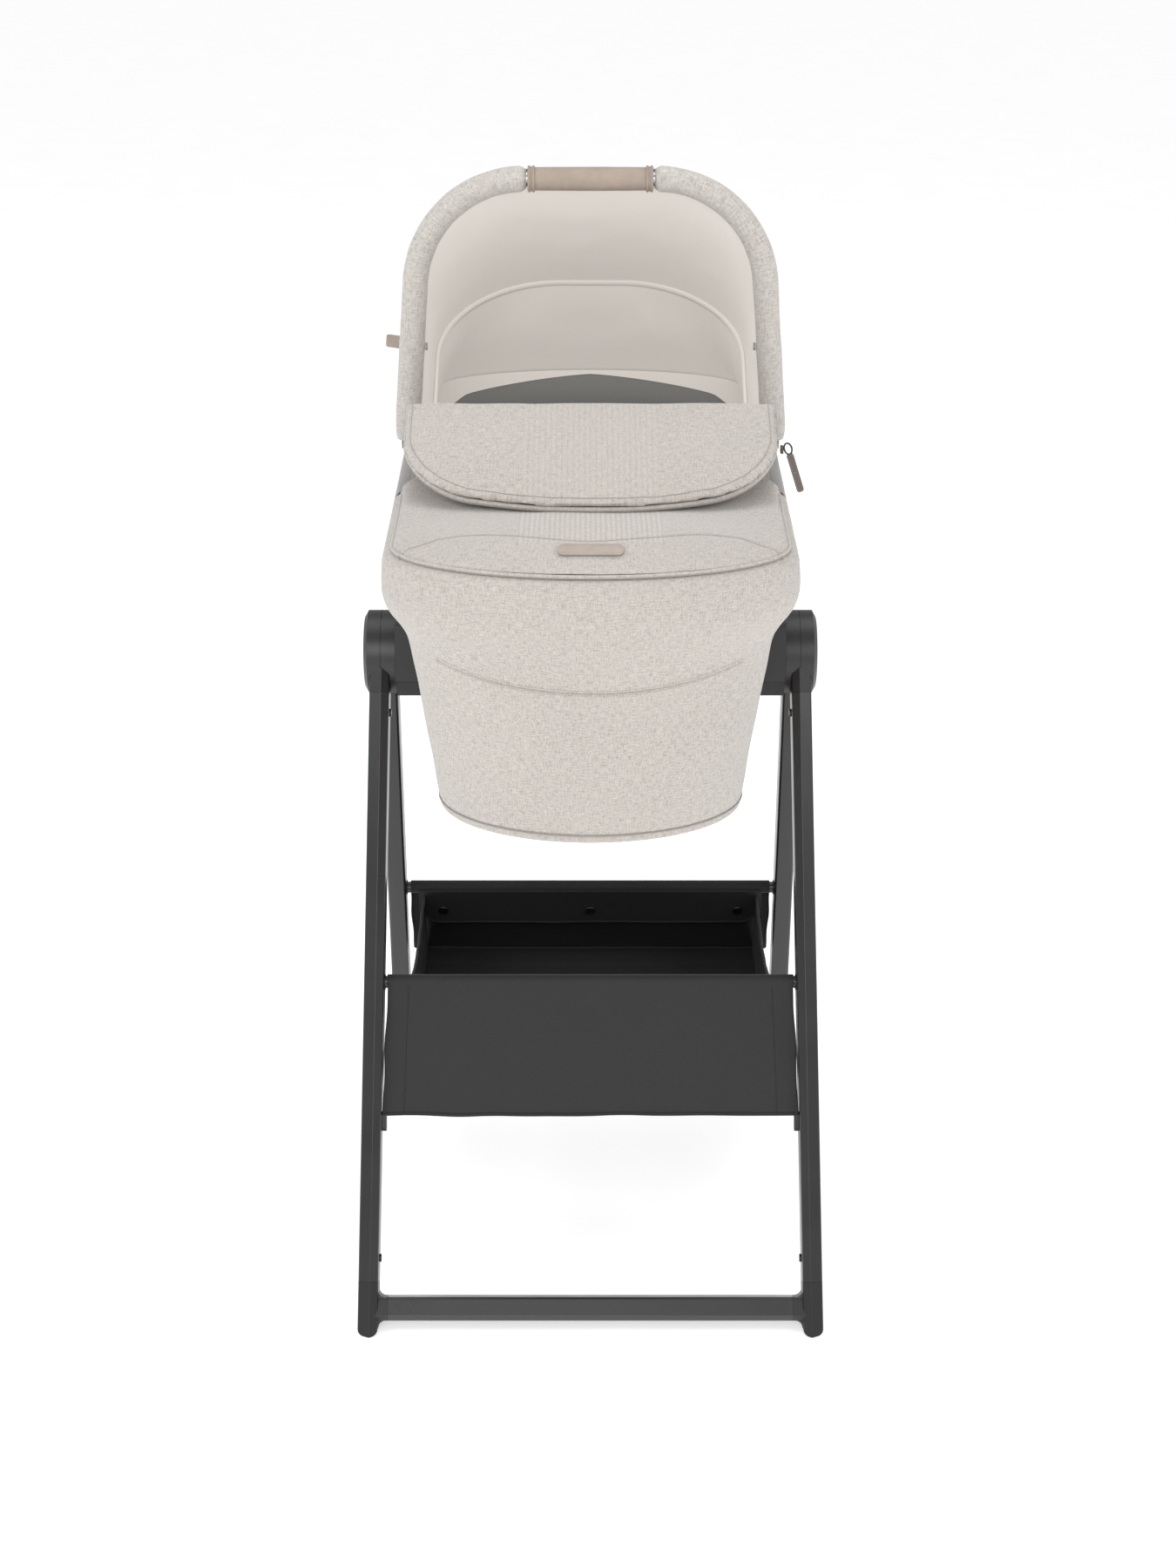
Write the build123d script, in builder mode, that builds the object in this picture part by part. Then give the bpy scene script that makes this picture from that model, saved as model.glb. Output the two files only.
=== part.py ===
"""Bassinet on a folding stand: a fabric carrycot with a folding hood, clipped onto an A-frame stand
with a storage basket.

Millimetres, +Z up. The origin lies on the floor under the hub axis. +Y runs from the foot end of the
carrycot to its head end and +X to the right as seen from the foot end. side is -1 on the left and +1 on
the right; end is -1 on the front frame, under the foot end, and +1 on the rear frame.
"""
from build123d import *
import os
from math import asin, atan2, cos, degrees, hypot, pi, radians, sin

os.makedirs("parts", exist_ok=True)

# Stand: two leg frames turning on one axis through the hubs
hub_height = 699
hub_radius = 47.7
foot_reach = 314            # foot centre from the hub axis, along Y
foot_height = 14
leg_offset = 22             # leg centre line to hub axis, so folded frames lie side by side
leg_width = 22.5
leg_depth = 34
leg_ridge = 4
leg_wall = 2
leg_splay = 11.7            # outward drift of a leg from hub to floor
leg_outer = {-1: 250, 1: 245.5}   # X of the outer face at the hub; rear legs stand further in
leg_start = 50
foot_start = 714
fit_gap = 0.2
spigot_length = 28

# Hubs, measured along X from the middle of the stand
rear_hub_x = (221.2, 237.8)
front_hub_x = (238.2, 252)
cap_x = 257.5
adaptor_x = (189, 220.8)
gear_x = (230.2, 243.6)
hub_web_x = (244, 248)
gear_radius = 20
gear_teeth = 12
axle_radius = 6
running_gap = 0.05
button_radius = 17.8
button_x = (250.9, 258)

# Cross members
bar_half = 228
crossbar_half = 13
web_radius = 9
foot_corner = 7             # rounding of a foot's lower corners
pad_radius = 6
bar_along = 745             # crossbar below the hub axis, along the leg
basket_bar_radius = 7
basket_along = {-1: 378, 1: 409}
panel_bottom = 527
panel_half = {-1: 230, 1: 224}
basket_half = 212
flap_hang = 42              # part of the rear panel that folds over its bar into the basket
cloth = 2

# Carrycot: height, half width, half length and depth of the rounded ends
tub_sections = [
    (615, 160.5, 385, 130),
    (700, 171.7, 394, 124),
    (785, 184, 403, 118),
    (822, 190, 408, 114),
    (840, 197.5, 413, 111),
    (858, 208.3, 418, 108),
    (878, 213.8, 421, 106),
    (907, 213.5, 420, 105),
    (950, 211, 417, 104),
]
tub_wall = 12
tub_floor = 12
seam_gap = 0.3
end_panels = 5              # wall panels round each end
end_seam_y = 290            # where the long side panels stop
seam_fan = (213, 106)       # half axes of the ellipse that spaces the end seams
seam_reach = (70, 270)
hinge_notch = (24, 44, 18)  # cut in the rim for each hood hinge: width, length, depth
frame_oval = (198, 402, 90)
frame_width = 10
frame_drop = 19
frame_thick = 12
board_oval = (146, 362, 112)
board_z = 629
board_thick = 6
mattress_oval = (147, 360, 112)
mattress_z = 636
mattress_thick = 34
rim_height = 923.2          # rim plane over the hub axis
rim_slope = 0.03855         # rise towards the head end
apron_top = 9
apron_half = 201
apron_length = 411
apron_crest = 21            # rise of the padded foot end over the rim
apron_depth = 98
apron_end = -128
crown_sections = ((14, 10, 92), (52, 38, 74))   # foot and top of the crest: insets, end depth
crown_back = 262
riser_start = -150
riser_half = 188
fold_y = -60
fold_z = 1001
flap_length = 183
flap_half = 201
flap_corner = 95
flap_thick = 5
flap_drop = 21.5            # degrees below horizontal, at rest
badge_size = (64, 14, 1.8)
slider_x = 212.5
slider_z = 936
puller_x = 220
puller_z = 940
puller_thick = 2.4
puller_tilt = 17.7

# Hood: arches that turn on one axis through the rim
pivot_y = 50
pivot_z = 932
pivot_radius = 4
hoop_half = 208
hoop_top_half = 186.7
hoop_top = 296
hoop_corner = 122
hoop_radius = 8
sleeve_radius = 14.5
sleeve_start = 48
grip_half = 69
grip_radius = 12.6
collar_radius = 13.4
collar_width = 8
rib_angle = 28
rib_half = 189
rib_top = 296
rib_corner = 148
canopy_thick = 2.4
canopy_corner = 140
canopy_start = 40
snap_height = 110

beyond = 500                # longer than any piece, for cuts that go right through

reach = hypot(foot_reach, hub_height - foot_height)
leg_angle = atan2(foot_reach, hub_height - foot_height) - asin(leg_offset / reach)
sin_leg = sin(leg_angle)
cos_leg = cos(leg_angle)
splay_slope = leg_splay / reach
sides = ((-1, "left"), (1, "right"))
ends = ((-1, "front"), (1, "rear"))


def finish(piece, name):
    """Label a finished piece and write its STEP file."""
    piece.part.label = name
    export_step(piece.part, f"parts/{name}.step")


def frame_point(x, end, across, along):
    """Point in a leg frame: across is outward from the hub axis, along runs down the leg."""
    y = end * (across * cos_leg + along * sin_leg)
    return (x, y, hub_height + across * sin_leg - along * cos_leg)


def leg_x(end, along):
    """X of a leg's centre line."""
    return leg_outer[end] - leg_width / 2 + splay_slope * along


def leg_plane(side, end, along):
    """Plane across a leg, with local x pointing away from the middle of the stand."""
    origin = frame_point(side * leg_x(end, along), end, leg_offset, along)
    down = (side * splay_slope, end * sin_leg, -cos_leg)
    return Plane(origin=origin, x_dir=(side, 0, 0), z_dir=down)


def bar_plane(x, end, across, along):
    """Plane across a cross member, with local x pointing out of the leg frame."""
    origin = frame_point(x, end, across, along)
    return Plane(origin=origin, x_dir=(0, end * cos_leg, sin_leg), z_dir=(1, 0, 0))


def hub_plane(side, x):
    """Plane across the hub axis, facing away from the middle, with local y up."""
    return Plane(origin=(side * x, 0, hub_height), x_dir=(0, side, 0), z_dir=(side, 0, 0))


def leg_face(side, end, inset=0):
    """Leg section: a flat box with a low ridge along its outward face."""
    out = -side * end
    half = leg_width / 2
    deep = leg_depth / 2
    ridge_x = half - 0.6 * leg_width
    with BuildSketch() as face:
        with BuildLine():
            Polyline(
                (-half, -out * deep),
                (half, -out * deep),
                (half, out * (deep - 2)),
                (ridge_x, out * (deep + leg_ridge)),
                (-half, out * (deep - 1)),
                close=True,
            )
        make_face()
        ridge = face.vertices().sort_by(Axis.Y)[-1 if out > 0 else 0]
        fillet([v for v in face.vertices() if v != ridge], radius=3)
        fillet(face.vertices().sort_by(Axis.Y)[-1 if out > 0 else 0], radius=0.9)
        if inset:
            offset(amount=-inset, kind=Kind.INTERSECTION, mode=Mode.REPLACE)
    return face.sketch


def crossbar_face(end, inset=0):
    """Crossbar section: local x outward, with a ridge low on the outward face."""
    down = -end
    with BuildSketch() as face:
        with BuildLine():
            Polyline(
                (-14, -down * crossbar_half),
                (11, -down * crossbar_half),
                (18, down * 7),
                (13, down * crossbar_half),
                (-14, down * crossbar_half),
                close=True,
            )
        make_face()
        fillet(face.vertices().sort_by(Axis.X)[:-1], radius=3.5)
        fillet(face.vertices().sort_by(Axis.X)[-1], radius=0.9)
        if inset:
            offset(amount=-inset, kind=Kind.INTERSECTION, mode=Mode.REPLACE)
    return face.sketch


def socket_plane(side, end):
    """Plane of a leg frame where a foot's inner face meets the crossbar, with local y up the leg."""
    origin = frame_point(side * (leg_x(end, bar_along) - leg_width / 2), end, leg_offset, bar_along)
    return Plane(origin=origin, x_dir=(-side, 0, 0), z_dir=(0, side * cos_leg, side * end * sin_leg))


def corner_web(end, up):
    """Concave fillet between a foot and its crossbar socket; up is +1 above the bar and -1 below it."""
    radius = min(web_radius, leg_x(end, bar_along) - leg_width / 2 - bar_half)
    near = crossbar_half * up
    far = near + radius * up
    low = near - 2 * up
    middle = radius * (1 - cos(pi / 4))
    with BuildSketch() as face:
        with BuildLine():
            ThreePointArc((radius, near), (middle, near + up * middle), (0, far))
            Polyline((0, far), (-2, far), (-2, low), (radius, low), (radius, near))
        make_face()
    return face.sketch


def oval(half_width, half_length, end_depth):
    """Plan outline with straight sides along Y and half-elliptical ends."""
    straight = half_length - end_depth
    with BuildSketch() as face:
        with BuildLine():
            Line((half_width, -straight), (half_width, straight))
            EllipticalCenterArc((0, straight), half_width, end_depth, start_angle=0, arc_size=180)
            Line((-half_width, straight), (-half_width, -straight))
            EllipticalCenterArc((0, -straight), half_width, end_depth, start_angle=180, arc_size=180)
        make_face()
    return face.sketch


def arch_band(low_half, high_half, start, top, corner, thickness):
    """Thin arch: sides from start, leaning in towards the top, with round corners."""
    lean = (low_half - high_half) / top
    base_half = low_half - lean * start
    with BuildSketch() as face:
        with BuildLine():
            outer = FilletPolyline(
                (base_half, start), (high_half, top), (-high_half, top), (-base_half, start), radius=corner
            )
            inner = FilletPolyline(
                (base_half - thickness, start),
                (high_half - thickness, top - thickness),
                (thickness - high_half, top - thickness),
                (thickness - base_half, start),
                radius=corner - thickness,
            )
            Line(outer @ 0, inner @ 0)
            Line(outer @ 1, inner @ 1)
        make_face()
    return face.sketch


def hood_plane(angle, lift=0, x=0):
    """Plane through the hood axis at an angle above horizontal, raised by lift; local y runs outward."""
    turn = radians(angle)
    origin = (x, pivot_y - lift * sin(turn), pivot_z + lift * cos(turn))
    return Plane(origin=origin, x_dir=(1, 0, 0), z_dir=(0, -sin(turn), cos(turn)))


def rim_plane(rise=0):
    """Plane of the carrycot's rim, raised by rise."""
    return Plane(origin=(0, 0, rim_height + rise), x_dir=(1, 0, 0), z_dir=(0, -rim_slope, 1))


# ---------------------------------------------------------------- legs and feet
for side, side_name in sides:
    for end, end_name in ends:
        with BuildPart() as leg:
            with BuildSketch(leg_plane(side, end, leg_start)):
                add(leg_face(side, end))
                add(leg_face(side, end, leg_wall), mode=Mode.SUBTRACT)
            extrude(amount=foot_start - leg_start)
        finish(leg, f"{end_name}_leg_{side_name}")

        # Foot: stub that carries on the leg, cut flat over the floor, with a socket for the crossbar
        with BuildPart() as foot:
            with BuildSketch(leg_plane(side, end, foot_start + fit_gap)):
                add(leg_face(side, end))
            extrude(amount=70)
            # Round the lower corners
            foot_x = side * leg_x(end, bar_along + 15)
            with BuildSketch(Plane(origin=(foot_x, 0, 61.5), x_dir=(1, 0, 0), z_dir=(0, -1, 0))):
                RectangleRounded(leg_width + 1.2, 120, radius=foot_corner)
            extrude(amount=beyond, both=True, mode=Mode.INTERSECT)
            with BuildSketch(bar_plane(side * bar_half, end, leg_offset, bar_along)):
                add(crossbar_face(end))
            extrude(amount=side * (leg_x(end, bar_along) - bar_half))
            for up in (-1, 1):
                with BuildSketch(socket_plane(side, end)):
                    add(corner_web(end, up))
                extrude(amount=11, both=True)
            split(bisect_by=Plane.XY.offset(1.5), keep=Keep.TOP)
            with BuildSketch(leg_plane(side, end, foot_start - spigot_length)):
                add(leg_face(side, end, leg_wall + fit_gap))
            extrude(amount=spigot_length + 2)
            with BuildSketch(bar_plane(side * (bar_half - spigot_length), end, leg_offset, bar_along)):
                add(crossbar_face(end, leg_wall + fit_gap))
            extrude(amount=side * (spigot_length + 2))
            pad_x = side * leg_x(end, foot_start + 36)
            pad_y = end * (foot_reach + 3)
            with BuildSketch(Plane(origin=(pad_x, pad_y, 1))):
                Circle(pad_radius + fit_gap)
            extrude(amount=3.2, mode=Mode.SUBTRACT)
        finish(foot, f"{end_name}_foot_{side_name}")

for end, end_name in ends:
    with BuildPart() as crossbar:
        with BuildSketch(bar_plane(-bar_half + fit_gap, end, leg_offset, bar_along)):
            add(crossbar_face(end))
            add(crossbar_face(end, leg_wall), mode=Mode.SUBTRACT)
        extrude(amount=2 * (bar_half - fit_gap))
    finish(crossbar, f"{end_name}_crossbar")

    # Rubber pads let into the feet
    with BuildPart() as foot_pads:
        for side, _ in sides:
            pad_x = side * leg_x(end, foot_start + 36)
            with BuildSketch(Plane(origin=(pad_x, end * (foot_reach + 3), 0))):
                Circle(pad_radius)
            extrude(amount=4)
    finish(foot_pads, f"{end_name}_foot_pads")

    # Round bar that carries the basket, with a web bracket at each leg
    along = basket_along[end]
    bar_end = leg_x(end, along) - leg_width / 2 - fit_gap
    with BuildPart() as basket_bar:
        with BuildSketch(bar_plane(-bar_end + 1, end, leg_offset, along)):
            Circle(basket_bar_radius)
            Circle(basket_bar_radius - 1.5, mode=Mode.SUBTRACT)
        extrude(amount=2 * (bar_end - 1))
    finish(basket_bar, f"{end_name}_basket_bar")

    with BuildPart() as bar_brackets:
        for side, _ in sides:
            with BuildSketch(bar_plane(side * (bar_end - 1 - 14), end, leg_offset, along)):
                Circle(basket_bar_radius - 1.5 - fit_gap)
            extrude(amount=side * 14.5)
            with BuildSketch(bar_plane(side * (bar_end - 0.9), end, leg_offset, along)):
                Circle(basket_bar_radius + 2)
            extrude(amount=side * 0.9)
    finish(bar_brackets, f"{end_name}_bar_brackets")

    # Screws that hold the hub and foot spigots, heads on the inner face of each leg
    with BuildPart() as screws:
        for side, _ in sides:
            for along in (72, foot_start - 25):
                inner_face = leg_x(end, along) - leg_width / 2 - 0.15
                with BuildSketch(bar_plane(side * inner_face, end, leg_offset, along)):
                    Circle(4.5)
                extrude(amount=-side * 2.2)
    finish(screws, f"{end_name}_screws")

# ---------------------------------------------------------------- hubs
for side, side_name in sides:
    front_x0, front_x1 = front_hub_x
    rear_x0, rear_x1 = rear_hub_x

    # Outer hub, on the front leg
    with BuildPart() as front_hub:
        with BuildSketch(leg_plane(side, -1, 8)):
            add(leg_face(side, -1))
        extrude(amount=leg_start - fit_gap - 8)
        with BuildSketch(hub_plane(side, 200)):
            Circle(hub_radius + 0.6)
        extrude(amount=front_x0 - 200, mode=Mode.SUBTRACT)
        with BuildSketch(hub_plane(side, front_x0)):
            Circle(hub_radius)
        extrude(amount=front_x1 - front_x0)
        with BuildSketch(hub_plane(side, front_x0)):
            Circle(gear_radius + 6)
        extrude(amount=hub_web_x[0] - front_x0, mode=Mode.SUBTRACT)
        with BuildSketch(hub_plane(side, front_x0)):
            Circle(axle_radius + running_gap)
        extrude(amount=front_x1 - front_x0, mode=Mode.SUBTRACT)
        with BuildSketch(hub_plane(side, hub_web_x[1])):
            Circle(button_radius + 2.7)
        extrude(amount=10, mode=Mode.SUBTRACT)
        with BuildSketch(leg_plane(side, -1, leg_start - 1)):
            add(leg_face(side, -1, leg_wall + fit_gap))
        extrude(amount=spigot_length)
    finish(front_hub, f"front_hub_{side_name}")

    # Inner hub, on the rear leg, with a toothed pocket for the lock gear
    with BuildPart() as rear_hub:
        with BuildSketch(leg_plane(side, 1, 8)):
            add(leg_face(side, 1))
        extrude(amount=leg_start - fit_gap - 8)
        with BuildSketch(hub_plane(side, rear_x1)):
            Circle(hub_radius + 0.6)
        extrude(amount=30, mode=Mode.SUBTRACT)
        with BuildSketch(hub_plane(side, rear_x0)):
            Circle(hub_radius)
        extrude(amount=rear_x1 - rear_x0)
        with BuildSketch(hub_plane(side, gear_x[0] - fit_gap)):
            Circle(gear_radius + fit_gap)
            with PolarLocations(gear_radius, gear_teeth):
                Rectangle(7.2 + 2 * fit_gap, 5 + 2 * fit_gap)
        extrude(amount=rear_x1 - gear_x[0] + 1, mode=Mode.SUBTRACT)
        with BuildSketch(hub_plane(side, rear_x0)):
            Circle(axle_radius + running_gap)
        extrude(amount=rear_x1 - rear_x0, mode=Mode.SUBTRACT)
        with BuildSketch(leg_plane(side, 1, leg_start - 1)):
            add(leg_face(side, 1, leg_wall + fit_gap))
        extrude(amount=spigot_length)
    finish(rear_hub, f"rear_hub_{side_name}")

    # Receiver for the carrycot: a round boss against the hub and a squared block with an open slot
    with BuildPart() as adaptor:
        with BuildSketch(hub_plane(side, 206)):
            Circle(hub_radius)
        extrude(amount=adaptor_x[1] - 206)
        with BuildSketch(hub_plane(side, adaptor_x[0])):
            with BuildLine():
                Polyline(
                    (side * 34, -36),
                    (side * 34, 20),
                    (side * 22, 44),
                    (-side * 50, 49),
                    (-side * 50, -20),
                    (-side * 30, -44),
                    (side * 20, -44),
                    close=True,
                )
            make_face()
            fillet(vertices(), radius=6)
        extrude(amount=adaptor_x[1] - adaptor_x[0])
        with BuildSketch(hub_plane(side, adaptor_x[0])):
            with Locations((0, 30)):
                Rectangle(32, 80)
        extrude(amount=10, mode=Mode.SUBTRACT)
        with BuildSketch(hub_plane(side, 203)):
            Circle(axle_radius)
        extrude(amount=18, mode=Mode.SUBTRACT)
        # Blind bore for the release button, on the head-end face
        with BuildSketch(Plane(origin=(side * 207, 20, hub_height - 8), x_dir=(1, 0, 0), z_dir=(0, 1, 0))):
            Circle(8.1)
        extrude(amount=40, mode=Mode.SUBTRACT)
    finish(adaptor, f"adaptor_{side_name}")

    with BuildPart() as release_button:
        with BuildSketch(Plane(origin=(side * 207, 25, hub_height - 8), x_dir=(1, 0, 0), z_dir=(0, 1, 0))):
            Circle(8)
        extrude(amount=14)
    finish(release_button, f"release_button_{side_name}")

    with BuildPart() as fold_button:
        with BuildSketch(hub_plane(side, button_x[0])):
            Circle(button_radius)
        extrude(amount=button_x[1] - button_x[0])
        fillet(fold_button.faces().sort_by(Axis.X)[-1 if side > 0 else 0].edges(), radius=1.5)
        with BuildSketch(hub_plane(side, button_x[0])):
            Circle(button_radius + 2.2)
        extrude(amount=0.9)
        with BuildSketch(hub_plane(side, button_x[0])):
            Circle(button_radius - 1.6)
        extrude(amount=4.6, mode=Mode.SUBTRACT)
    finish(fold_button, f"fold_button_{side_name}")

with BuildPart() as hub_caps:
    for side, _ in sides:
        with BuildSketch(hub_plane(side, front_hub_x[1])):
            Circle(hub_radius)
            Circle(button_radius + 0.3, mode=Mode.SUBTRACT)
        extrude(amount=cap_x - front_hub_x[1])
    cap_rims = hub_caps.edges().filter_by(GeomType.CIRCLE).sort_by(SortBy.RADIUS)[-4:].sort_by(Axis.X)
    chamfer([cap_rims[0], cap_rims[-1]], length=4, length2=7)
finish(hub_caps, "hub_caps")

with BuildPart() as hub_axles:
    for side, _ in sides:
        with BuildSketch(hub_plane(side, 204)):
            Circle(axle_radius)
        extrude(amount=hub_web_x[1] - 204)
        with BuildSketch(hub_plane(side, hub_web_x[1])):
            Circle(9)
        extrude(amount=2.2)
finish(hub_axles, "hub_axles")

with BuildPart() as lock_gears:
    for side, _ in sides:
        with BuildSketch(hub_plane(side, gear_x[0])):
            Circle(gear_radius)
            with PolarLocations(gear_radius, gear_teeth):
                Rectangle(7.2, 5)
            Circle(axle_radius + running_gap, mode=Mode.SUBTRACT)
        extrude(amount=gear_x[1] - gear_x[0])
finish(lock_gears, "lock_gears")

with BuildPart() as button_springs:
    for side, _ in sides:
        coil_start = (side * (hub_web_x[1] + 0.9), 0, hub_height)
        with BuildLine():
            coil = Helix(pitch=2, height=5, radius=13.5, center=coil_start, direction=(side, 0, 0))
        with BuildSketch(Plane(origin=coil @ 0, z_dir=coil % 0)):
            Circle(0.6)
        sweep()
finish(button_springs, "button_springs")

# ---------------------------------------------------------------- basket
for end, end_name in ends:
    along = basket_along[end]
    half = panel_half[end]
    with BuildPart() as panel:
        with BuildSketch(bar_plane(-half, end, leg_offset, along)):
            Circle(basket_bar_radius + cloth + fit_gap)
            with Locations((basket_bar_radius + cloth / 2 + fit_gap, -end * (panel_bottom - along) / 2)):
                Rectangle(cloth, panel_bottom - along)
            Circle(basket_bar_radius + fit_gap, mode=Mode.SUBTRACT)
        extrude(amount=2 * half)
        if end > 0:
            # Flap folded over the bar into the basket
            with BuildSketch(bar_plane(-basket_half + 4, end, leg_offset, along)):
                with Locations((-basket_bar_radius - cloth / 2 - fit_gap, -flap_hang / 2)):
                    Rectangle(cloth, flap_hang)
            extrude(amount=2 * (basket_half - 4))
    finish(panel, f"basket_{end_name}_panel")

snap_across = leg_offset - basket_bar_radius - cloth - fit_gap
with BuildPart() as basket_snaps:
    for x in (-panel_half[1] * 0.82, 0, panel_half[1] * 0.82):
        snap = bar_plane(x, 1, snap_across, basket_along[1] + 28)
        with BuildSketch(Plane(origin=snap.origin, z_dir=-snap.x_dir)):
            Circle(6)
        extrude(amount=2.5)
finish(basket_snaps, "basket_snaps")

panel_across = leg_offset + basket_bar_radius + fit_gap
front_low = frame_point(0, -1, panel_across - 0.5, panel_bottom)
rear_low = frame_point(0, 1, panel_across - 0.5, panel_bottom)
front_high = frame_point(0, -1, leg_offset - basket_bar_radius - cloth - 1, basket_along[-1] + 6)
rear_high = frame_point(0, 1, leg_offset - basket_bar_radius - 2 * cloth - 1, basket_along[1] + 6)
with BuildPart() as basket_floor:
    with BuildSketch(Plane.YZ.offset(-basket_half)):
        with BuildLine():
            Polyline(
                (front_low[1], front_low[2]),
                (rear_low[1], rear_low[2]),
                (rear_low[1], rear_low[2] - cloth),
                (front_low[1], front_low[2] - cloth),
                close=True,
            )
        make_face()
    extrude(amount=2 * basket_half)
finish(basket_floor, "basket_floor")

for side, side_name in sides:
    with BuildPart() as basket_side:
        with BuildSketch(Plane.YZ.offset(side * (basket_half - 1))):
            with BuildLine():
                Polyline(
                    (front_low[1] + 2, front_low[2] + 0.3),
                    (rear_low[1] - 2, rear_low[2] + 0.3),
                    (rear_high[1], rear_high[2]),
                    (front_high[1], front_high[2]),
                    close=True,
                )
            make_face()
        extrude(amount=-side * cloth)
    finish(basket_side, f"basket_side_{side_name}")

with BuildPart() as basket_brackets:
    for side, _ in sides:
        inner_face = leg_x(-1, panel_bottom + 8) - leg_width / 2
        with BuildSketch(bar_plane(side * (inner_face - 0.3), -1, leg_offset + 2, panel_bottom + 8)):
            RectangleRounded(14, 22, radius=5)
        extrude(amount=-side * 5)
finish(basket_brackets, "basket_brackets")

# ---------------------------------------------------------------- carrycot
with BuildPart() as tub_outer:
    for height, half_width, half_length, end_depth in tub_sections:
        with BuildSketch(Plane.XY.offset(height)):
            add(oval(half_width, half_length, end_depth))
    loft(ruled=True)

# The hollow runs past both ends of the body, so the wall is open there
hollow_past = {tub_sections[0][0]: -5, tub_sections[-1][0]: 5}
with BuildPart() as tub_inner:
    for height, half_width, half_length, end_depth in tub_sections:
        with BuildSketch(Plane.XY.offset(height + hollow_past.get(height, 0))):
            add(oval(half_width - tub_wall, half_length - tub_wall, end_depth - tub_wall))
    loft(ruled=True)

# Shell: a base panel inside a wall sewn from a long panel on each side and short ones round the ends
base_z = tub_sections[0][0]
with BuildPart() as carrycot_shell:
    add(tub_outer.part)
    add(tub_inner.part, mode=Mode.SUBTRACT)
    with BuildSketch(rim_plane()):
        Rectangle(2 * beyond, 2 * beyond)
    extrude(amount=beyond, mode=Mode.SUBTRACT)
    fan_x, fan_y = seam_fan
    seam_near, seam_far = seam_reach
    for end, _ in ends:
        with BuildSketch(Plane.XY.offset(base_z - 5)):
            for step in range(end_panels + 1):
                turn = pi * step / end_panels
                heading = degrees(atan2(end * fan_y * sin(turn), fan_x * cos(turn)))
                with Locations(Location((0, end * end_seam_y, 0), (0, 0, heading))):
                    with Locations(((seam_near + seam_far) / 2, 0)):
                        Rectangle(seam_far - seam_near, seam_gap)
        extrude(amount=beyond, mode=Mode.SUBTRACT)
    notch_width, notch_length, notch_depth = hinge_notch
    for side, _ in sides:
        with BuildSketch(Plane(origin=(side * 211, pivot_y, pivot_z - notch_depth))):
            Rectangle(notch_width, notch_length)
        extrude(amount=beyond, mode=Mode.SUBTRACT)
    base_inset = tub_wall + seam_gap
    with BuildSketch(Plane.XY.offset(base_z)):
        add(oval(*[size - base_inset for size in tub_sections[0][1:]]))
    extrude(amount=tub_floor)
finish(carrycot_shell, "carrycot_shell")

with BuildPart() as rim_frame:
    with BuildSketch(rim_plane(-frame_drop)):
        add(oval(*frame_oval))
        add(oval(*[size - frame_width for size in frame_oval]), mode=Mode.SUBTRACT)
    extrude(amount=frame_thick)
finish(rim_frame, "rim_frame")

with BuildPart() as base_board:
    with BuildSketch(Plane.XY.offset(board_z)):
        add(oval(*board_oval))
    extrude(amount=board_thick)
    fillet(base_board.edges().filter_by(Axis.Z, reverse=True), radius=1.5)
finish(base_board, "base_board")

with BuildPart() as mattress:
    with BuildSketch(Plane.XY.offset(mattress_z)):
        add(oval(*mattress_oval))
    extrude(amount=mattress_thick)
finish(mattress, "mattress")

with BuildPart() as connectors:
    for side, _ in sides:
        with BuildSketch(hub_plane(side, 160)):
            with Locations((0, 12)):
                RectangleRounded(84, 76, radius=10)
        extrude(amount=28)
        with BuildSketch(hub_plane(side, 187)):
            with Locations((0, 18)):
                Rectangle(31, 54)
        extrude(amount=11)
    add(tub_outer.part, mode=Mode.SUBTRACT)
finish(connectors, "carrycot_connectors")

with BuildPart() as hood_mounts:
    for side, _ in sides:
        with BuildSketch(Plane(origin=(side * 191.2, pivot_y, pivot_z), x_dir=(0, 1, 0), z_dir=(1, 0, 0))):
            Rectangle(24, 22)
        extrude(amount=side * 12.6)
        with BuildSketch(Plane(origin=(side * 183.5, pivot_y, pivot_z), x_dir=(0, 1, 0), z_dir=(1, 0, 0))):
            Circle(pivot_radius)
        extrude(amount=side * 28)
        for head_x in (181.5, 211.5):
            head_origin = (side * head_x, pivot_y, pivot_z)
            with BuildSketch(Plane(origin=head_origin, x_dir=(0, 1, 0), z_dir=(1, 0, 0))):
                Circle(7)
            extrude(amount=side * 2)
    add(rim_frame.part, mode=Mode.SUBTRACT)
finish(hood_mounts, "hood_mounts")

# Apron: a padded cover over the foot half, with a raised crest at its end and a riser up to the fold
riser_top = fold_z - 10
riser_foot = rim_height + rim_slope * riser_start + 3
with BuildPart() as apron_crown:
    for height, (side_inset, end_inset, end_depth) in zip((apron_top - 1, apron_crest), crown_sections):
        with BuildSketch(rim_plane(height)):
            add(oval(apron_half - side_inset, apron_length - end_inset, end_depth))
    loft()
    split(bisect_by=Plane.XZ.offset(crown_back), keep=Keep.TOP)

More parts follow.
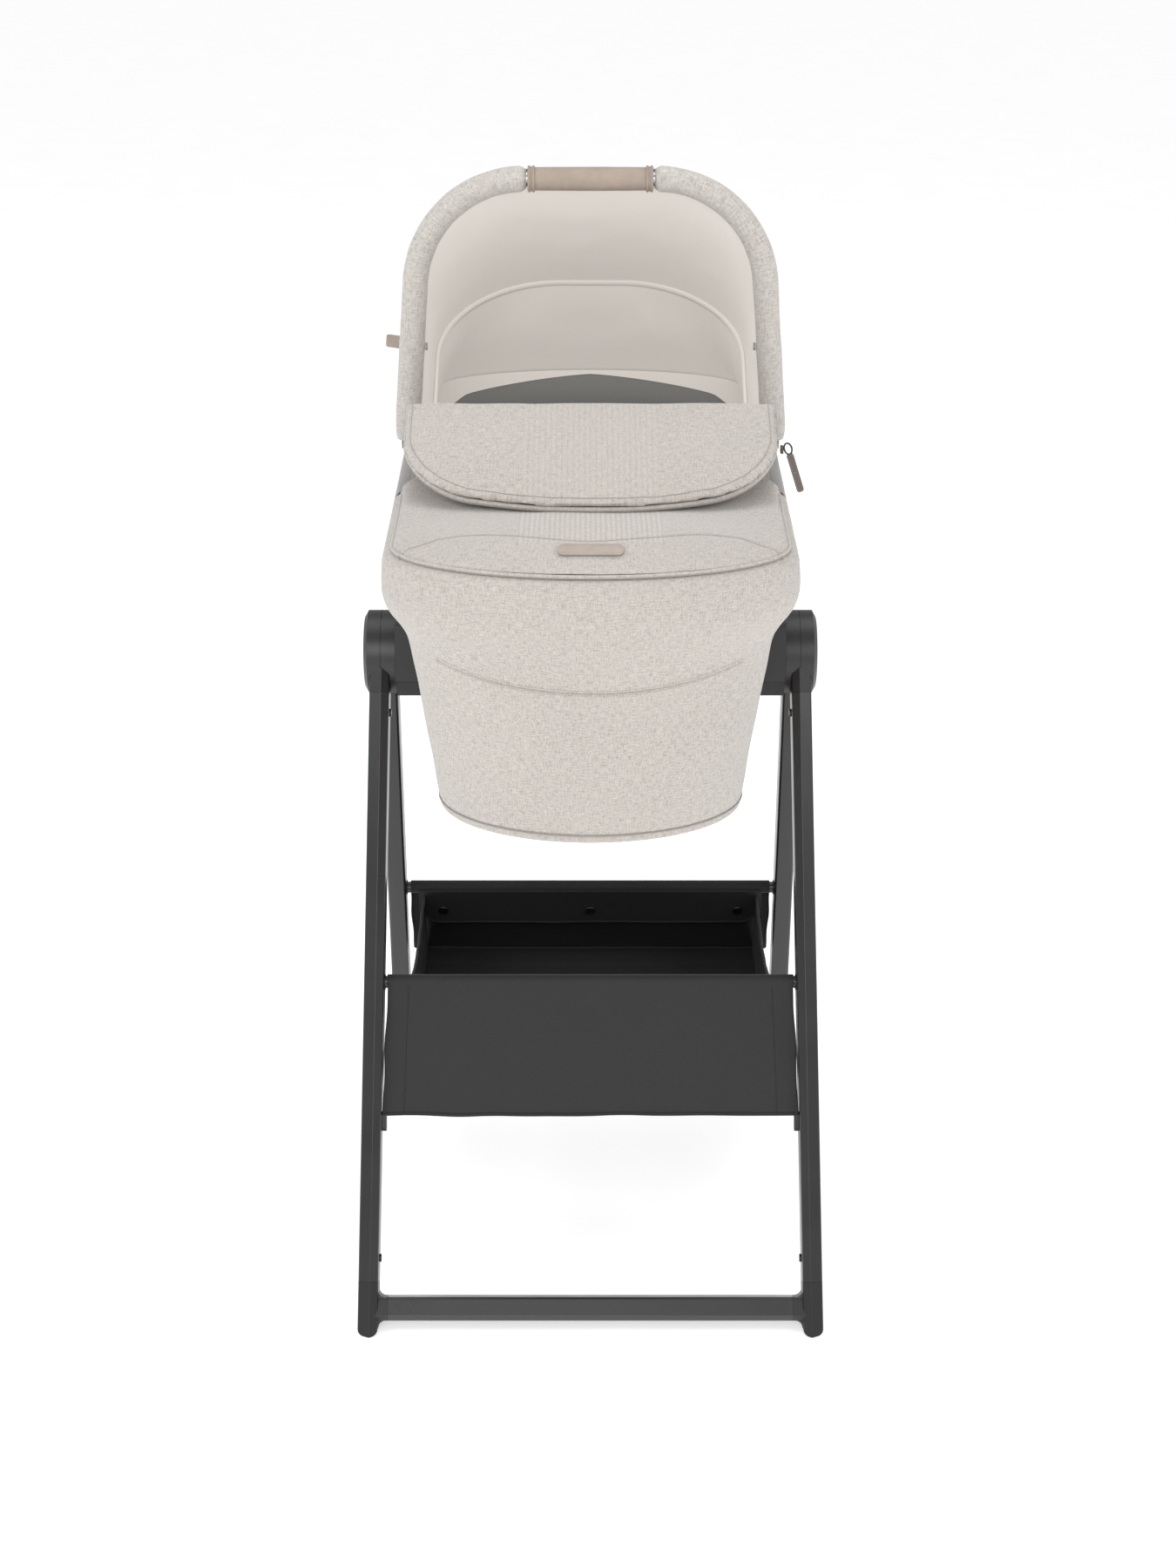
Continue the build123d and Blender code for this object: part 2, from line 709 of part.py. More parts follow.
with BuildPart() as apron:
    with BuildSketch(rim_plane(0.4)):
        add(oval(apron_half, apron_length, apron_depth))
    with BuildSketch(rim_plane(0.4 + apron_top)):
        add(oval(apron_half - 8, apron_length - 8, apron_depth - 4))
    loft()
    with BuildSketch(rim_plane(-5)):
        with Locations((0, apron_end + beyond)):
            Rectangle(2 * beyond, 2 * beyond)
    extrude(amount=40, mode=Mode.SUBTRACT)
    add(apron_crown.part)
    with BuildSketch(Plane.YZ.offset(-riser_half)):
        with BuildLine():
            Polyline(
                (riser_start, riser_foot),
                (fold_y - 6, riser_top),
                (fold_y - 2, riser_top - 3),
                (riser_start + 8, riser_foot),
                close=True,
            )
        make_face()
    extrude(amount=2 * riser_half)
finish(apron, "apron")

# The badge lies on the slope of the crest
badge_length, badge_width, badge_thick = badge_size
crest_run = crown_sections[1][1] - crown_sections[0][1]
badge_slope = atan2(apron_crest - apron_top + 1, crest_run)
badge_y = (crown_sections[0][1] + crown_sections[1][1]) / 2 - apron_length
badge_z = rim_height + rim_slope * badge_y + (apron_top - 1 + apron_crest) / 2 + 1.4
badge_normal = (0, -sin(badge_slope), cos(badge_slope))
with BuildPart() as apron_badge:
    with BuildSketch(Plane(origin=(0, badge_y, badge_z), x_dir=(1, 0, 0), z_dir=badge_normal)):
        SlotOverall(badge_length, badge_width)
    extrude(amount=badge_thick)
finish(apron_badge, "apron_badge")

drop = radians(flap_drop)
flap_plane = Plane(origin=(0, fold_y, fold_z), x_dir=(1, 0, 0), z_dir=(0, -sin(drop), cos(drop)))
with BuildPart() as apron_flap:
    with BuildSketch(flap_plane):
        with Locations((0, -flap_length / 2)):
            Rectangle(2 * flap_half, flap_length)
        fillet(vertices().group_by(Axis.Y)[0], radius=flap_corner)
    extrude(amount=-flap_thick)
finish(apron_flap, "apron_flap")

with BuildPart() as zip_slider:
    with BuildSketch(Plane(origin=(slider_x, 0, slider_z), x_dir=(0, 1, 0), z_dir=(1, 0, 0))):
        RectangleRounded(12, 8, radius=2)
    extrude(amount=3)
finish(zip_slider, "zip_slider")

tilt = radians(puller_tilt)
puller_origin = (puller_x, puller_thick / 2, puller_z)
puller_plane = Plane(origin=puller_origin, x_dir=(cos(tilt), 0, sin(tilt)), z_dir=(0, -1, 0))
with BuildPart() as zip_puller:
    with BuildSketch(puller_plane):
        with Locations((0, -29)):
            RectangleRounded(7, 50, radius=2.5)
        Circle(4)
        with Locations((0, -4)):
            Rectangle(3, 6)
        Circle(2.2, mode=Mode.SUBTRACT)
    extrude(amount=puller_thick)
finish(zip_puller, "zip_puller")

# ---------------------------------------------------------------- hood
hoop_lean = (hoop_half - hoop_top_half) / hoop_top
with BuildPart() as hood_hoop:
    with BuildLine(hood_plane(90)) as hoop_line:
        FilletPolyline(
            (hoop_half, 0),
            (hoop_top_half, hoop_top),
            (-hoop_top_half, hoop_top),
            (-hoop_half, 0),
            radius=hoop_corner,
        )
    with BuildSketch(Plane(origin=hoop_line.line @ 0, z_dir=hoop_line.line % 0)):
        Circle(hoop_radius)
    sweep(path=hoop_line.line)
    for side, _ in sides:
        # Flattened lug with the pivot hole
        with BuildSketch(Plane(origin=(side * 218, pivot_y, pivot_z), x_dir=(0, 1, 0), z_dir=(side, 0, 0))):
            Rectangle(40, 50)
        extrude(amount=-7.2, mode=Mode.SUBTRACT)
        with BuildSketch(Plane(origin=(side * 204.8, pivot_y, pivot_z), x_dir=(0, 1, 0), z_dir=(side, 0, 0))):
            Rectangle(40, 50)
        extrude(amount=-12, mode=Mode.SUBTRACT)
        with BuildSketch(Plane(origin=(side * 205, pivot_y, pivot_z), x_dir=(0, 1, 0), z_dir=(side, 0, 0))):
            Circle(10)
        extrude(amount=5.6)
        with BuildSketch(Plane(origin=(side * 200, pivot_y, pivot_z), x_dir=(0, 1, 0), z_dir=(side, 0, 0))):
            Circle(pivot_radius + running_gap)
        extrude(amount=20, mode=Mode.SUBTRACT)
finish(hood_hoop, "hood_hoop")

for side, side_name in sides:
    with BuildPart() as sleeve:
        with BuildLine(hood_plane(90)) as sleeve_line:
            FilletPolyline(
                (side * (hoop_half - hoop_lean * sleeve_start), sleeve_start),
                (side * hoop_top_half, hoop_top),
                (side * (grip_half + 3), hoop_top),
                radius=hoop_corner,
            )
        with BuildSketch(Plane(origin=sleeve_line.line @ 0, z_dir=sleeve_line.line % 0)):
            Circle(sleeve_radius)
            Circle(hoop_radius + 0.4, mode=Mode.SUBTRACT)
        sweep(path=sleeve_line.line)
    finish(sleeve, f"hoop_sleeve_{side_name}")

grip_z = pivot_z + hoop_top
grip_start = (collar_width - grip_half, pivot_y, grip_z)
with BuildPart() as hood_grip:
    with BuildSketch(Plane(origin=grip_start, x_dir=(0, 1, 0), z_dir=(1, 0, 0))):
        Circle(grip_radius)
        Circle(hoop_radius + 0.3, mode=Mode.SUBTRACT)
    extrude(amount=2 * (grip_half - collar_width))
finish(hood_grip, "hood_grip")

with BuildPart() as grip_collars:
    for side, _ in sides:
        collar_origin = (side * (grip_half - collar_width), pivot_y, grip_z)
        with BuildSketch(Plane(origin=collar_origin, x_dir=(0, 1, 0), z_dir=(side, 0, 0))):
            Circle(collar_radius)
            Circle(hoop_radius + 0.3, mode=Mode.SUBTRACT)
        extrude(amount=collar_width)
finish(grip_collars, "grip_collars")

with BuildPart() as canopy_rib:
    with BuildSketch(hood_plane(rib_angle, -3.5)):
        add(arch_band(rib_half, rib_half, 6, rib_top, rib_corner, 4))
    extrude(amount=7)
    for side, _ in sides:
        with BuildSketch(Plane(origin=(side * 186, pivot_y, pivot_z), x_dir=(0, 1, 0), z_dir=(side, 0, 0))):
            Circle(9)
        extrude(amount=4.2)
        with BuildSketch(Plane(origin=(side * 180, pivot_y, pivot_z), x_dir=(0, 1, 0), z_dir=(side, 0, 0))):
            Circle(pivot_radius + running_gap)
        extrude(amount=12, mode=Mode.SUBTRACT)
finish(canopy_rib, "canopy_rib")

with BuildPart() as canopy_front:
    with BuildSketch(hood_plane(90, -16)):
        add(arch_band(216, 199, canopy_start, rib_top + 8, canopy_corner, canopy_thick))
    with BuildSketch(hood_plane(rib_angle, 6)):
        add(arch_band(204, 200, canopy_start, rib_top + 6, rib_corner, canopy_thick))
    loft()
finish(canopy_front, "canopy_front")

with BuildPart() as canopy_rear:
    with BuildSketch(hood_plane(rib_angle, -6)):
        add(arch_band(206, 195, canopy_start, rib_top + 6, canopy_corner, canopy_thick))
    with BuildSketch(hood_plane(2.4)):
        rear_reach = rib_top + 70
        add(arch_band(216, 216, canopy_start + 15, rear_reach, canopy_corner, canopy_thick))
    loft()
finish(canopy_rear, "canopy_rear")

with BuildPart() as canopy_tab:
    with BuildSketch(hood_plane(rib_angle, -12, x=-212)):
        with Locations((-14, 190)):
            RectangleRounded(32, 22, radius=3)
    extrude(amount=2.5)
finish(canopy_tab, "canopy_tab")

with BuildPart() as hoop_snaps:
    for side, _ in sides:
        snap_x = side * (hoop_half - hoop_lean * snap_height - sleeve_radius - 0.5)
        snap_origin = (snap_x, pivot_y, pivot_z + snap_height)
        with BuildSketch(Plane(origin=snap_origin, x_dir=(0, 1, 0), z_dir=(-side, 0, 0))):
            Circle(4.2)
        extrude(amount=2.4)
finish(hoop_snaps, "hoop_snaps")
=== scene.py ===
"""Looks of the bassinet on its folding stand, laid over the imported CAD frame.

Geometry is written in millimetres and turned into metres when a mesh is made. +Y runs from the foot
end to the head end, +X to the right as seen from the foot end.
"""

from math import acos, asin, atan2, cos, hypot, pi, radians, sin, sqrt, tan

import bmesh
import bpy
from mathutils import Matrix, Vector, noise
from mathutils.bvhtree import BVHTree


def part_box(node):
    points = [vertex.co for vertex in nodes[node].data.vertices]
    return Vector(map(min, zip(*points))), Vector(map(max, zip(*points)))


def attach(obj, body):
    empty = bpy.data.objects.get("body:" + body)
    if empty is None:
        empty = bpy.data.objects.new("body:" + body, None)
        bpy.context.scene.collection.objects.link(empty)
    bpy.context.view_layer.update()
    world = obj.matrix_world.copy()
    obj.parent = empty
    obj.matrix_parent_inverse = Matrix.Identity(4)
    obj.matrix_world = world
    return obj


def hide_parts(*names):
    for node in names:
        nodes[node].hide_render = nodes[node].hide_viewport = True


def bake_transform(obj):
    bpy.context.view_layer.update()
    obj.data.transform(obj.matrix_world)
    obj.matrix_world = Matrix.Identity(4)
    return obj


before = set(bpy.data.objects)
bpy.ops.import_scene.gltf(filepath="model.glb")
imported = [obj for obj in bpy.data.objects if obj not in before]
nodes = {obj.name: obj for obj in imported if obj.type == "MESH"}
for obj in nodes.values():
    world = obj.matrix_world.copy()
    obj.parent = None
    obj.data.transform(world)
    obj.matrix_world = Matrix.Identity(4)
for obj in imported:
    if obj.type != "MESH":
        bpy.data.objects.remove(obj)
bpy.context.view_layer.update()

MM = 0.001
SIDES = ((-1, "left"), (1, "right"))

# The stand's leg frames, as the CAD has them
HUB_Z = 699
FOOT_REACH = 314
FOOT_Z = 14
LEG_OFFSET = 22
LEG_ANGLE = atan2(FOOT_REACH, HUB_Z - FOOT_Z) - asin(LEG_OFFSET / hypot(FOOT_REACH, HUB_Z - FOOT_Z))
SIN_LEG, COS_LEG = sin(LEG_ANGLE), cos(LEG_ANGLE)
BASKET_BAR = {-1: 378, 1: 409}
BAR_RADIUS = 7
PANEL_BOTTOM = 527
PANEL_HALF = {-1: 230, 1: 224}

# The carrycot
TUB = (
    (615, 160.5, 385, 130),
    (700, 171.7, 394, 124),
    (785, 184, 403, 118),
    (822, 190, 408, 114),
    (840, 197.5, 413, 111),
    (858, 208.3, 418, 108),
    (878, 213.8, 421, 106),
    (907, 213.5, 420, 105),
    (950, 211, 417, 104),
)
RIM_Z = 923.2
RIM_SLOPE = 0.03855
WALL = 12
FOLD_Y, FOLD_Z = -60, 1001
FLAP_HALF = 202
FLAP_DROP = radians(21.5)

# The hood turns about an axis along X
PIVOT_Y, PIVOT_Z = 50, 932
RIB_ANGLE = 28
HOOP = (208, 186.7, 296, 122)      # half width at the axis, half width on top, height, corner radius
SLEEVE_RADIUS = 14.2

PUFF_FRAMES = 20           # length of each cloth simulation


# -------- rows of numbers
def lerp(a, b, t):
    return a + (b - a) * t


def smooth(t):
    t = min(1, max(0, t))
    return t * t * (3 - 2 * t)


def wander(x, y, z, size, seed):
    """Smooth noise between about -1 and 1, with bumps of the given size in mm."""
    return noise.noise(Vector((x / size + seed * 17.3, y / size - seed * 5.1, z / size + seed * 3.7)))


def shares(count, first=0):
    """Even steps up to 1."""
    return [k / count for k in range(first, count + 1)]


def spaced(half, count):
    """Even steps from -half to half."""
    return [half * (-1 + 2 * k / count) for k in range(count + 1)]


def eased(half, count):
    """Steps from -half to half that get smaller towards both ends."""
    return [half * sin(pi / 2 * (-1 + 2 * k / count)) for k in range(count + 1)]


def circle(count):
    """Cosine and sine of even turns round a circle."""
    return [(cos(2 * pi * k / count), sin(2 * pi * k / count)) for k in range(count)]


# -------- mesh helpers
def link(thing):
    bpy.context.scene.collection.objects.link(thing)
    return thing


def new_piece(name, points, faces, uvs=None):
    """Smooth object from points in mm. uvs holds a pair in metres for each corner of each face."""
    mesh = bpy.data.meshes.new(name)
    mesh.from_pydata([Vector(p) * MM for p in points], [], faces)
    mesh.polygons.foreach_set("use_smooth", [True] * len(mesh.polygons))
    if uvs:
        layer = mesh.uv_layers.new(name="UVMap")
        layer.data.foreach_set("uv", [value for pair in uvs for value in pair])
    mesh.validate()
    return link(bpy.data.objects.new(name, mesh))


def run_lengths(points):
    """Distance along a row of points, from 0 at the first."""
    total, out = 0, [0]
    for a, b in zip(points, points[1:]):
        total += (Vector(b) - Vector(a)).length
        out.append(total)
    return out


def skin(name, rows, wrap=False):
    """Sheet through rows of points. wrap joins the end of each row to its start."""
    count = len(rows[0])
    longest = max(rows, key=lambda row: run_lengths(row)[-1])
    across = run_lengths(list(longest) + ([longest[0]] if wrap else []))
    middle = across[-1] / 2
    along = run_lengths([row[count // 2] for row in rows])
    points = [p for row in rows for p in row]
    faces, uvs = [], []
    for i in range(len(rows) - 1):
        for j in range(count if wrap else count - 1):
            k = (j + 1) % count
            faces.append((i * count + j, i * count + k, (i + 1) * count + k, (i + 1) * count + j))
            for row, column in ((i, j), (i, j + 1), (i + 1, j + 1), (i + 1, j)):
                uvs.append(((across[column] - middle) * MM, along[row] * MM))
    return new_piece(name, points, faces, uvs)


def close_ends(piece):
    """Fill the open ends of a wrapped sheet and turn its faces outward."""
    mesh = bmesh.new()
    mesh.from_mesh(piece.data)
    bmesh.ops.holes_fill(mesh, edges=[edge for edge in mesh.edges if edge.is_boundary])
    bmesh.ops.recalc_face_normals(mesh, faces=mesh.faces)
    mesh.to_mesh(piece.data)
    mesh.free()


def tube(name, path, radius, sides=10, closed=False):
    """Round tube along a path. radius is a number, or a function of the share of the way along."""
    path = [Vector(p) for p in path]
    lengths = run_lengths(path)
    rows = []
    normal = None
    last = len(path) - 1
    for i, p in enumerate(path):
        before = path[i - 1] if i or closed else path[0]
        after = path[(i + 1) % len(path)] if i < last or closed else path[last]
        ahead = (after - before).normalized()
        if normal is None:
            normal = ahead.orthogonal().normalized()
        normal = (normal - ahead * normal.dot(ahead)).normalized()
        side = ahead.cross(normal)
        size = radius(lengths[i] / lengths[-1]) if callable(radius) else radius
        rows.append([p + normal * size * c + side * size * s for c, s in circle(sides)])
    if closed:
        rows.append(rows[0])
    return skin(name, rows, wrap=True)


def stitches(name, path, up, pitch=3.4, length=2.3, width=0.8, height=0.35, lift=0.15):
    """A run of sewing stitches: one small rounded bead for each, lying along the path, up being outward."""
    path = [Vector(p) for p in path]
    lengths = run_lengths(path)
    points, faces = [], []
    spot, i = pitch / 2, 0
    ring = 6
    while spot < lengths[-1] - pitch / 2:
        while lengths[i + 1] < spot:
            i += 1
        share = (spot - lengths[i]) / (lengths[i + 1] - lengths[i])
        centre = path[i].lerp(path[i + 1], share)
        ahead = (path[i + 1] - path[i]).normalized()
        side = ahead.cross(Vector(up).normalized()).normalized()
        out = side.cross(ahead)
        base = len(points)
        for along, size in ((-0.5, 0.35), (-0.28, 1), (0.28, 1), (0.5, 0.35)):
            for c, s in circle(ring):
                points.append(
                    centre + ahead * length * along + side * width / 2 * size * c
                    + out * (lift + height * size * s)
                )
        for row in range(3):
            for k in range(ring):
                a, b = base + row * ring + k, base + row * ring + (k + 1) % ring
                faces.append((a, b, b + ring, a + ring))
        faces.append(tuple(base + k for k in reversed(range(ring))))
        faces.append(tuple(base + 3 * ring + k for k in range(ring)))
        spot += pitch
    return new_piece(name, points, faces)


def bake(piece):
    """Apply the piece's modifiers to its mesh."""
    graph = bpy.context.evaluated_depsgraph_get()
    mesh = bpy.data.meshes.new_from_object(piece.evaluated_get(graph))
    piece.modifiers.clear()
    piece.data = mesh
    mesh.polygons.foreach_set("use_smooth", [True] * len(mesh.polygons))


def thicken(piece, thickness, offset=-1):
    """Give a sheet its thickness in mm. offset -1 grows it inward from the surface, 0 both ways."""
    solid = piece.modifiers.new("thickness", "SOLIDIFY")
    solid.thickness = thickness * MM
    solid.offset = offset
    solid.use_even_offset = True
    bake(piece)


def puff(piece, cap, voxel=5):
    """Inflate a closed pad with a cloth simulation, held to cap mm of its modelled shape."""
    remesh = piece.modifiers.new("voxels", "REMESH")
    remesh.mode = "VOXEL"
    remesh.voxel_size = voxel * MM
    bake(piece)
    rest = [v.co.copy() for v in piece.data.vertices]
    cloth = piece.modifiers.new("cloth", "CLOTH")
    cloth.settings.use_pressure = True
    cloth.settings.uniform_pressure_force = 4
    cloth.settings.effector_weights.gravity = 0
    cloth.point_cache.frame_end = PUFF_FRAMES
    for number in range(1, PUFF_FRAMES + 1):
        bpy.context.scene.frame_set(number)
    bake(piece)
    for vertex, start in zip(piece.data.vertices, rest):
        move = vertex.co - start
        if move.length > cap * MM:
            vertex.co = start + move.normalized() * cap * MM
    bpy.context.scene.frame_set(1)
    piece.modifiers.new("finer", "SUBSURF").levels = 1
    bake(piece)


def surface(piece):
    """Tree that finds where a ray meets a piece."""
    mesh = piece.data
    return BVHTree.FromPolygons([v.co for v in mesh.vertices], [p.vertices for p in mesh.polygons])


def map_uv(piece, place):
    """UV map in metres from a function of each point in mm."""
    layer = piece.data.uv_layers.active or piece.data.uv_layers.new(name="UVMap")
    spots = [place(v.co / MM) for v in piece.data.vertices]
    for loop in piece.data.loops:
        u, v = spots[loop.vertex_index]
        layer.data[loop.index].uv = (u * MM, v * MM)


def dress(piece, material, body, slot, *replaced):
    """Finish a piece: its material, the body it rides on and the CAD nodes it replaces. The record slot
    argument is not used.
    """
    piece.data.materials.clear()
    piece.data.materials.append(material)
    if body:
        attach(piece, body)
    if replaced:
        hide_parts(*replaced)
    return piece


# -------- materials
def srgb(*values):
    """Linear colour from 0-255 sRGB values."""
    shares = [v / 255 for v in values]
    return [s / 12.92 if s <= 0.04045 else ((s + 0.055) / 1.055) ** 2.4 for s in shares] + [1]


class Graph:
    """A material's node tree, with short ways to add nodes."""

    def __init__(self, name):
        self.material = bpy.data.materials.new(name)
        self.material.use_nodes = True
        self.tree = self.material.node_tree
        self.shader = self.tree.nodes["Principled BSDF"]

    def put(self, socket, value):
        if isinstance(value, bpy.types.NodeSocket):
            self.tree.links.new(value, socket)
        elif value is not None:
            socket.default_value = value

    def add(self, kind, **inputs):
        node = self.tree.nodes.new("ShaderNode" + kind)
        for name, value in inputs.items():
            self.put(node.inputs[name], value)
        return node

    def math(self, kind, a, b=None, c=None):
        node = self.add("Math")
        node.operation = kind
        for socket, value in zip(node.inputs, (a, b, c)):
            self.put(socket, value)
        return node.outputs[0]

    def times(self, a, b):
        return self.math("MULTIPLY", a, b)

    def coords(self, kind):
        return self.add("TexCoord").outputs[kind]

    def scaled(self, vector, x, y, z):
        return self.add("Mapping", Vector=vector, Scale=(x, y, z)).outputs[0]

    def noise(self, vector, scale, detail=2, roughness=0.5):
        return self.add("TexNoise", Vector=vector, Scale=scale, Detail=detail, Roughness=roughness).outputs[0]

    def ramp(self, factor, *stops):
        node = self.add("ValToRGB")
        self.put(node.inputs[0], factor)
        band = node.color_ramp
        while len(band.elements) < len(stops):
            band.elements.new(0.5)
        for element, (place, colour) in zip(band.elements, stops):
            element.position = place
            element.color = colour
        return node.outputs[0]

    def mix(self, factor, a, b):
        node = self.add("Mix", Factor=factor)
        node.data_type = "RGBA"
        self.put(node.inputs[6], a)
        self.put(node.inputs[7], b)
        return node.outputs[2]

    def bump(self, height, distance, strength=1, under=None):
        return self.add("Bump", Distance=distance, Strength=strength, Height=height, Normal=under).outputs[0]

    def finish(self, colour=None, roughness=None, normal=None, **settings):
        sockets = self.shader.inputs
        self.put(sockets["Base Color"], colour)
        self.put(sockets["Roughness"], roughness)
        self.put(sockets["Normal"], normal)
        for name, value in settings.items():
            sockets[name.replace("_", " ")].default_value = value
        return self.material


def shade(colour, by):
    return [c * by for c in colour[:3]] + [1]


def woven(name, colour, thread=1.4, contrast=0.21, bump=0.00022, sheen=0.25, roughness=0.9,
          ribs=None, painted_glow=0):
    """Heathered plain weave on a UV map in metres. ribs is (half width, pitch, start, zigzag) in mm
    of a strip down the middle: plain ribs, or herringbone where zigzag is its period. glow is painted
    light: an emission that lifts the cloth out of its shade, standing in for the light that comes through
    thin cloth."""
    g = Graph(name)
    uv = g.coords("UV")
    u, v, _ = g.add("SeparateXYZ", Vector=uv).outputs
    step = pi / (thread * MM)
    up, across = (g.math("SINE", g.times(place, step)) for place in (u, v))
    weave = g.math("MULTIPLY_ADD", g.times(up, across), 0.5, 0.5)
    fine = 0.8 / (thread * MM)
    warp = g.noise(g.scaled(uv, fine, fine * 0.22, 1), 1, 3, 0.7)
    weft = g.noise(g.scaled(uv, fine * 0.2, fine, 1), 1, 3, 0.7)
    melange = g.math("MULTIPLY_ADD", weave, g.math("SUBTRACT", warp, weft), weft)
    cloudy = g.noise(g.scaled(uv, 9, 9, 1), 1, 3)
    tone = g.math("ADD", g.times(melange, 0.95), g.times(cloudy, 0.05))
    dark, light = shade(colour, 1 - 2.2 * contrast), shade(colour, 1 + 1.3 * contrast)
    tint = g.ramp(tone, (0.3, dark), (0.5, colour), (0.7, light))
    height = g.math("ADD", weave, g.times(melange, 0.8))
    normal = g.bump(height, bump)
    if ribs:
        half, pitch, start, zigzag = ribs
        wave = g.math("COSINE", g.times(u, 2 * pi / (pitch * MM)))
        inside = g.math("LESS_THAN", g.math("ABSOLUTE", u), half * MM)
        inside = g.times(inside, g.math("GREATER_THAN", v, start * MM))
        hollow = g.times(g.math("POWER", g.math("MULTIPLY_ADD", wave, 0.5, 0.5), 4), inside)
        if zigzag:
            fold = g.math("PINGPONG", u, pitch * MM / 2)
            slant = g.math("SINE", g.times(g.math("ADD", v, fold), 2 * pi / (zigzag * MM)))
            twill = g.times(g.math("MULTIPLY_ADD", slant, 0.5, 0.5), inside)
            hollow = g.math("MULTIPLY_ADD", twill, 0.7, g.times(hollow, 0.6))
        normal = g.bump(g.math("SUBTRACT", 1, hollow), 0.0007, 0.6, normal)
        # Painted shade: the rib hollows are darkened, and the whole strip is first lightened a little to make
        # up for it.
        tint = g.mix(g.times(inside, 0.1), tint, shade(colour, 2))
        tint = g.mix(g.times(hollow, 0.2), tint, shade(colour, 0.5))
    # The emission is painted light that lifts the cloth out of its shade.
    return g.finish(tint, roughness, normal, Sheen_Weight=sheen, Sheen_Roughness=0.5,
                    Emission_Color=colour, Emission_Strength=painted_glow)


def leather(name, colour):
    """Smooth leather: pebbled grain with fine creases, painted shade in the creases, and a little wear."""
    g = Graph(name)
    place = g.coords("Object")
    cells = g.add("TexVoronoi", Vector=place, Scale=900)
    cells.feature = "DISTANCE_TO_EDGE"
    grain = g.math("MINIMUM", g.times(cells.outputs["Distance"], 4), 1)
    soft = g.noise(place, 60, 4)
    tint = g.ramp(soft, (0.3, shade(colour, 0.88)), (0.7, shade(colour, 1.08)))
    # Painted shade: the creases between the grain's cells are darkened.
    tint = g.mix(g.math("MULTIPLY_ADD", grain, -0.25, 0.25), tint, shade(colour, 0.6))
    normal = g.bump(g.math("ADD", grain, soft), 0.00012)
    rough = g.math("MULTIPLY_ADD", soft, 0.25, 0.38)
    return g.finish(tint, rough, normal, Specular_IOR_Level=0.45)


def coated(name, colour, roughness=0.5, grain=0.00003, edge_highlight=0.35, scale=1800, gloss=0.5):
    """Powder-coated metal or moulded plastic: fine grain, uneven gloss and a painted highlight along sharp
    edges.
    """
    g = Graph(name)
    place = g.coords("Object")
    fine = g.noise(place, scale, 2)
    cloud = g.noise(place, 14, 4)
    tint = g.ramp(cloud, (0.3, shade(colour, 0.9)), (0.7, shade(colour, 1.1)))
    # Painted highlight: convex edges are lightened where light would catch them.
    edge = g.add("NewGeometry").outputs["Pointiness"]
    highlit_edges = g.ramp(edge, (0.52, (0, 0, 0, 1)), (0.6, (1, 1, 1, 1)))
    tint = g.mix(g.times(highlit_edges, edge_highlight), tint, shade(colour, 2.4))
    rough = g.math("MULTIPLY_ADD", cloud, 0.16, roughness - 0.08)
    normal = g.bump(fine, grain)
    return g.finish(tint, rough, normal, Specular_IOR_Level=gloss)


def metal(name, colour, brushed=False):
    """Bare or plated metal with fine drawn lines."""
    g = Graph(name)
    place = g.coords("Object")
    lines = g.noise(g.scaled(place, 40, 1500, 1500), 1, 3) if brushed else g.noise(place, 900, 3)
    tint = g.ramp(lines, (0.3, shade(colour, 0.85)), (0.7, shade(colour, 1.1)))
    rough = g.math("MULTIPLY_ADD", lines, 0.2, 0.25)
    return g.finish(tint, rough, g.bump(lines, 0.00002), Metallic=1.0)


CREAM = srgb(180, 174, 168)
HOOD = srgb(184, 179, 173)
LINING = srgb(198, 193, 187)
GREY = srgb(118, 117, 115)
body_cloth = woven("body_fabric", CREAM)
apron_cloth = woven("apron_fabric", CREAM, ribs=(74, 5.2, 562, 0))
flap_cloth = woven("flap_fabric", CREAM, ribs=(72, 6, -1, 3.4))
hood_cloth = woven("canopy_fabric", HOOD, thread=1.6, contrast=0.23)
# Painted light: the hood lining, its tape and the grey lining are given an emission that lifts their shade.
lining_cloth = woven("lining_fabric", LINING, thread=0.6, contrast=0.03, bump=0.00005, painted_glow=0.5)
lining_tape = woven("lining_tape_fabric", srgb(182, 176, 169), thread=0.6, contrast=0.05, painted_glow=0.3)
grey_cloth = woven("grey_lining_fabric", GREY, thread=0.8, contrast=0.08, bump=0.0001, painted_glow=0.36)
seam_cloth = woven("seam_fabric", srgb(158, 151, 144), thread=0.7, contrast=0.06)
piping_cloth = woven("piping_fabric", srgb(150, 144, 138), thread=0.7, contrast=0.06)
cover_cloth = woven("mattress_fabric", srgb(214, 212, 208), thread=0.8, contrast=0.04)
nylon = dict(thread=0.8, contrast=0.12, bump=0.00008, sheen=0.05, roughness=0.75)
basket_cloth = woven("basket_fabric", srgb(27, 27, 28), **dict(nylon, sheen=0.08, roughness=0.7))
# Painted shade: the pieces inside the basket take a darker copy of the same nylon.
basket_shaded_cloth = woven("basket_shaded_inside_fabric", srgb(21, 21, 22), **nylon)
basket_hem = woven("basket_hem_fabric", srgb(30, 30, 31), **dict(nylon, thread=0.6, contrast=0.1))
tan_leather = leather("tan_leather", srgb(165, 150, 138))
badge_leather = leather("badge_leather", srgb(172, 160, 151))
dark_leather = leather("dark_leather", srgb(112, 104, 98))
cream_thread = coated("cream_thread", srgb(186, 180, 172), roughness=0.7, edge_highlight=0)
black_thread = coated("black_thread", srgb(24, 24, 24), roughness=0.7, edge_highlight=0)

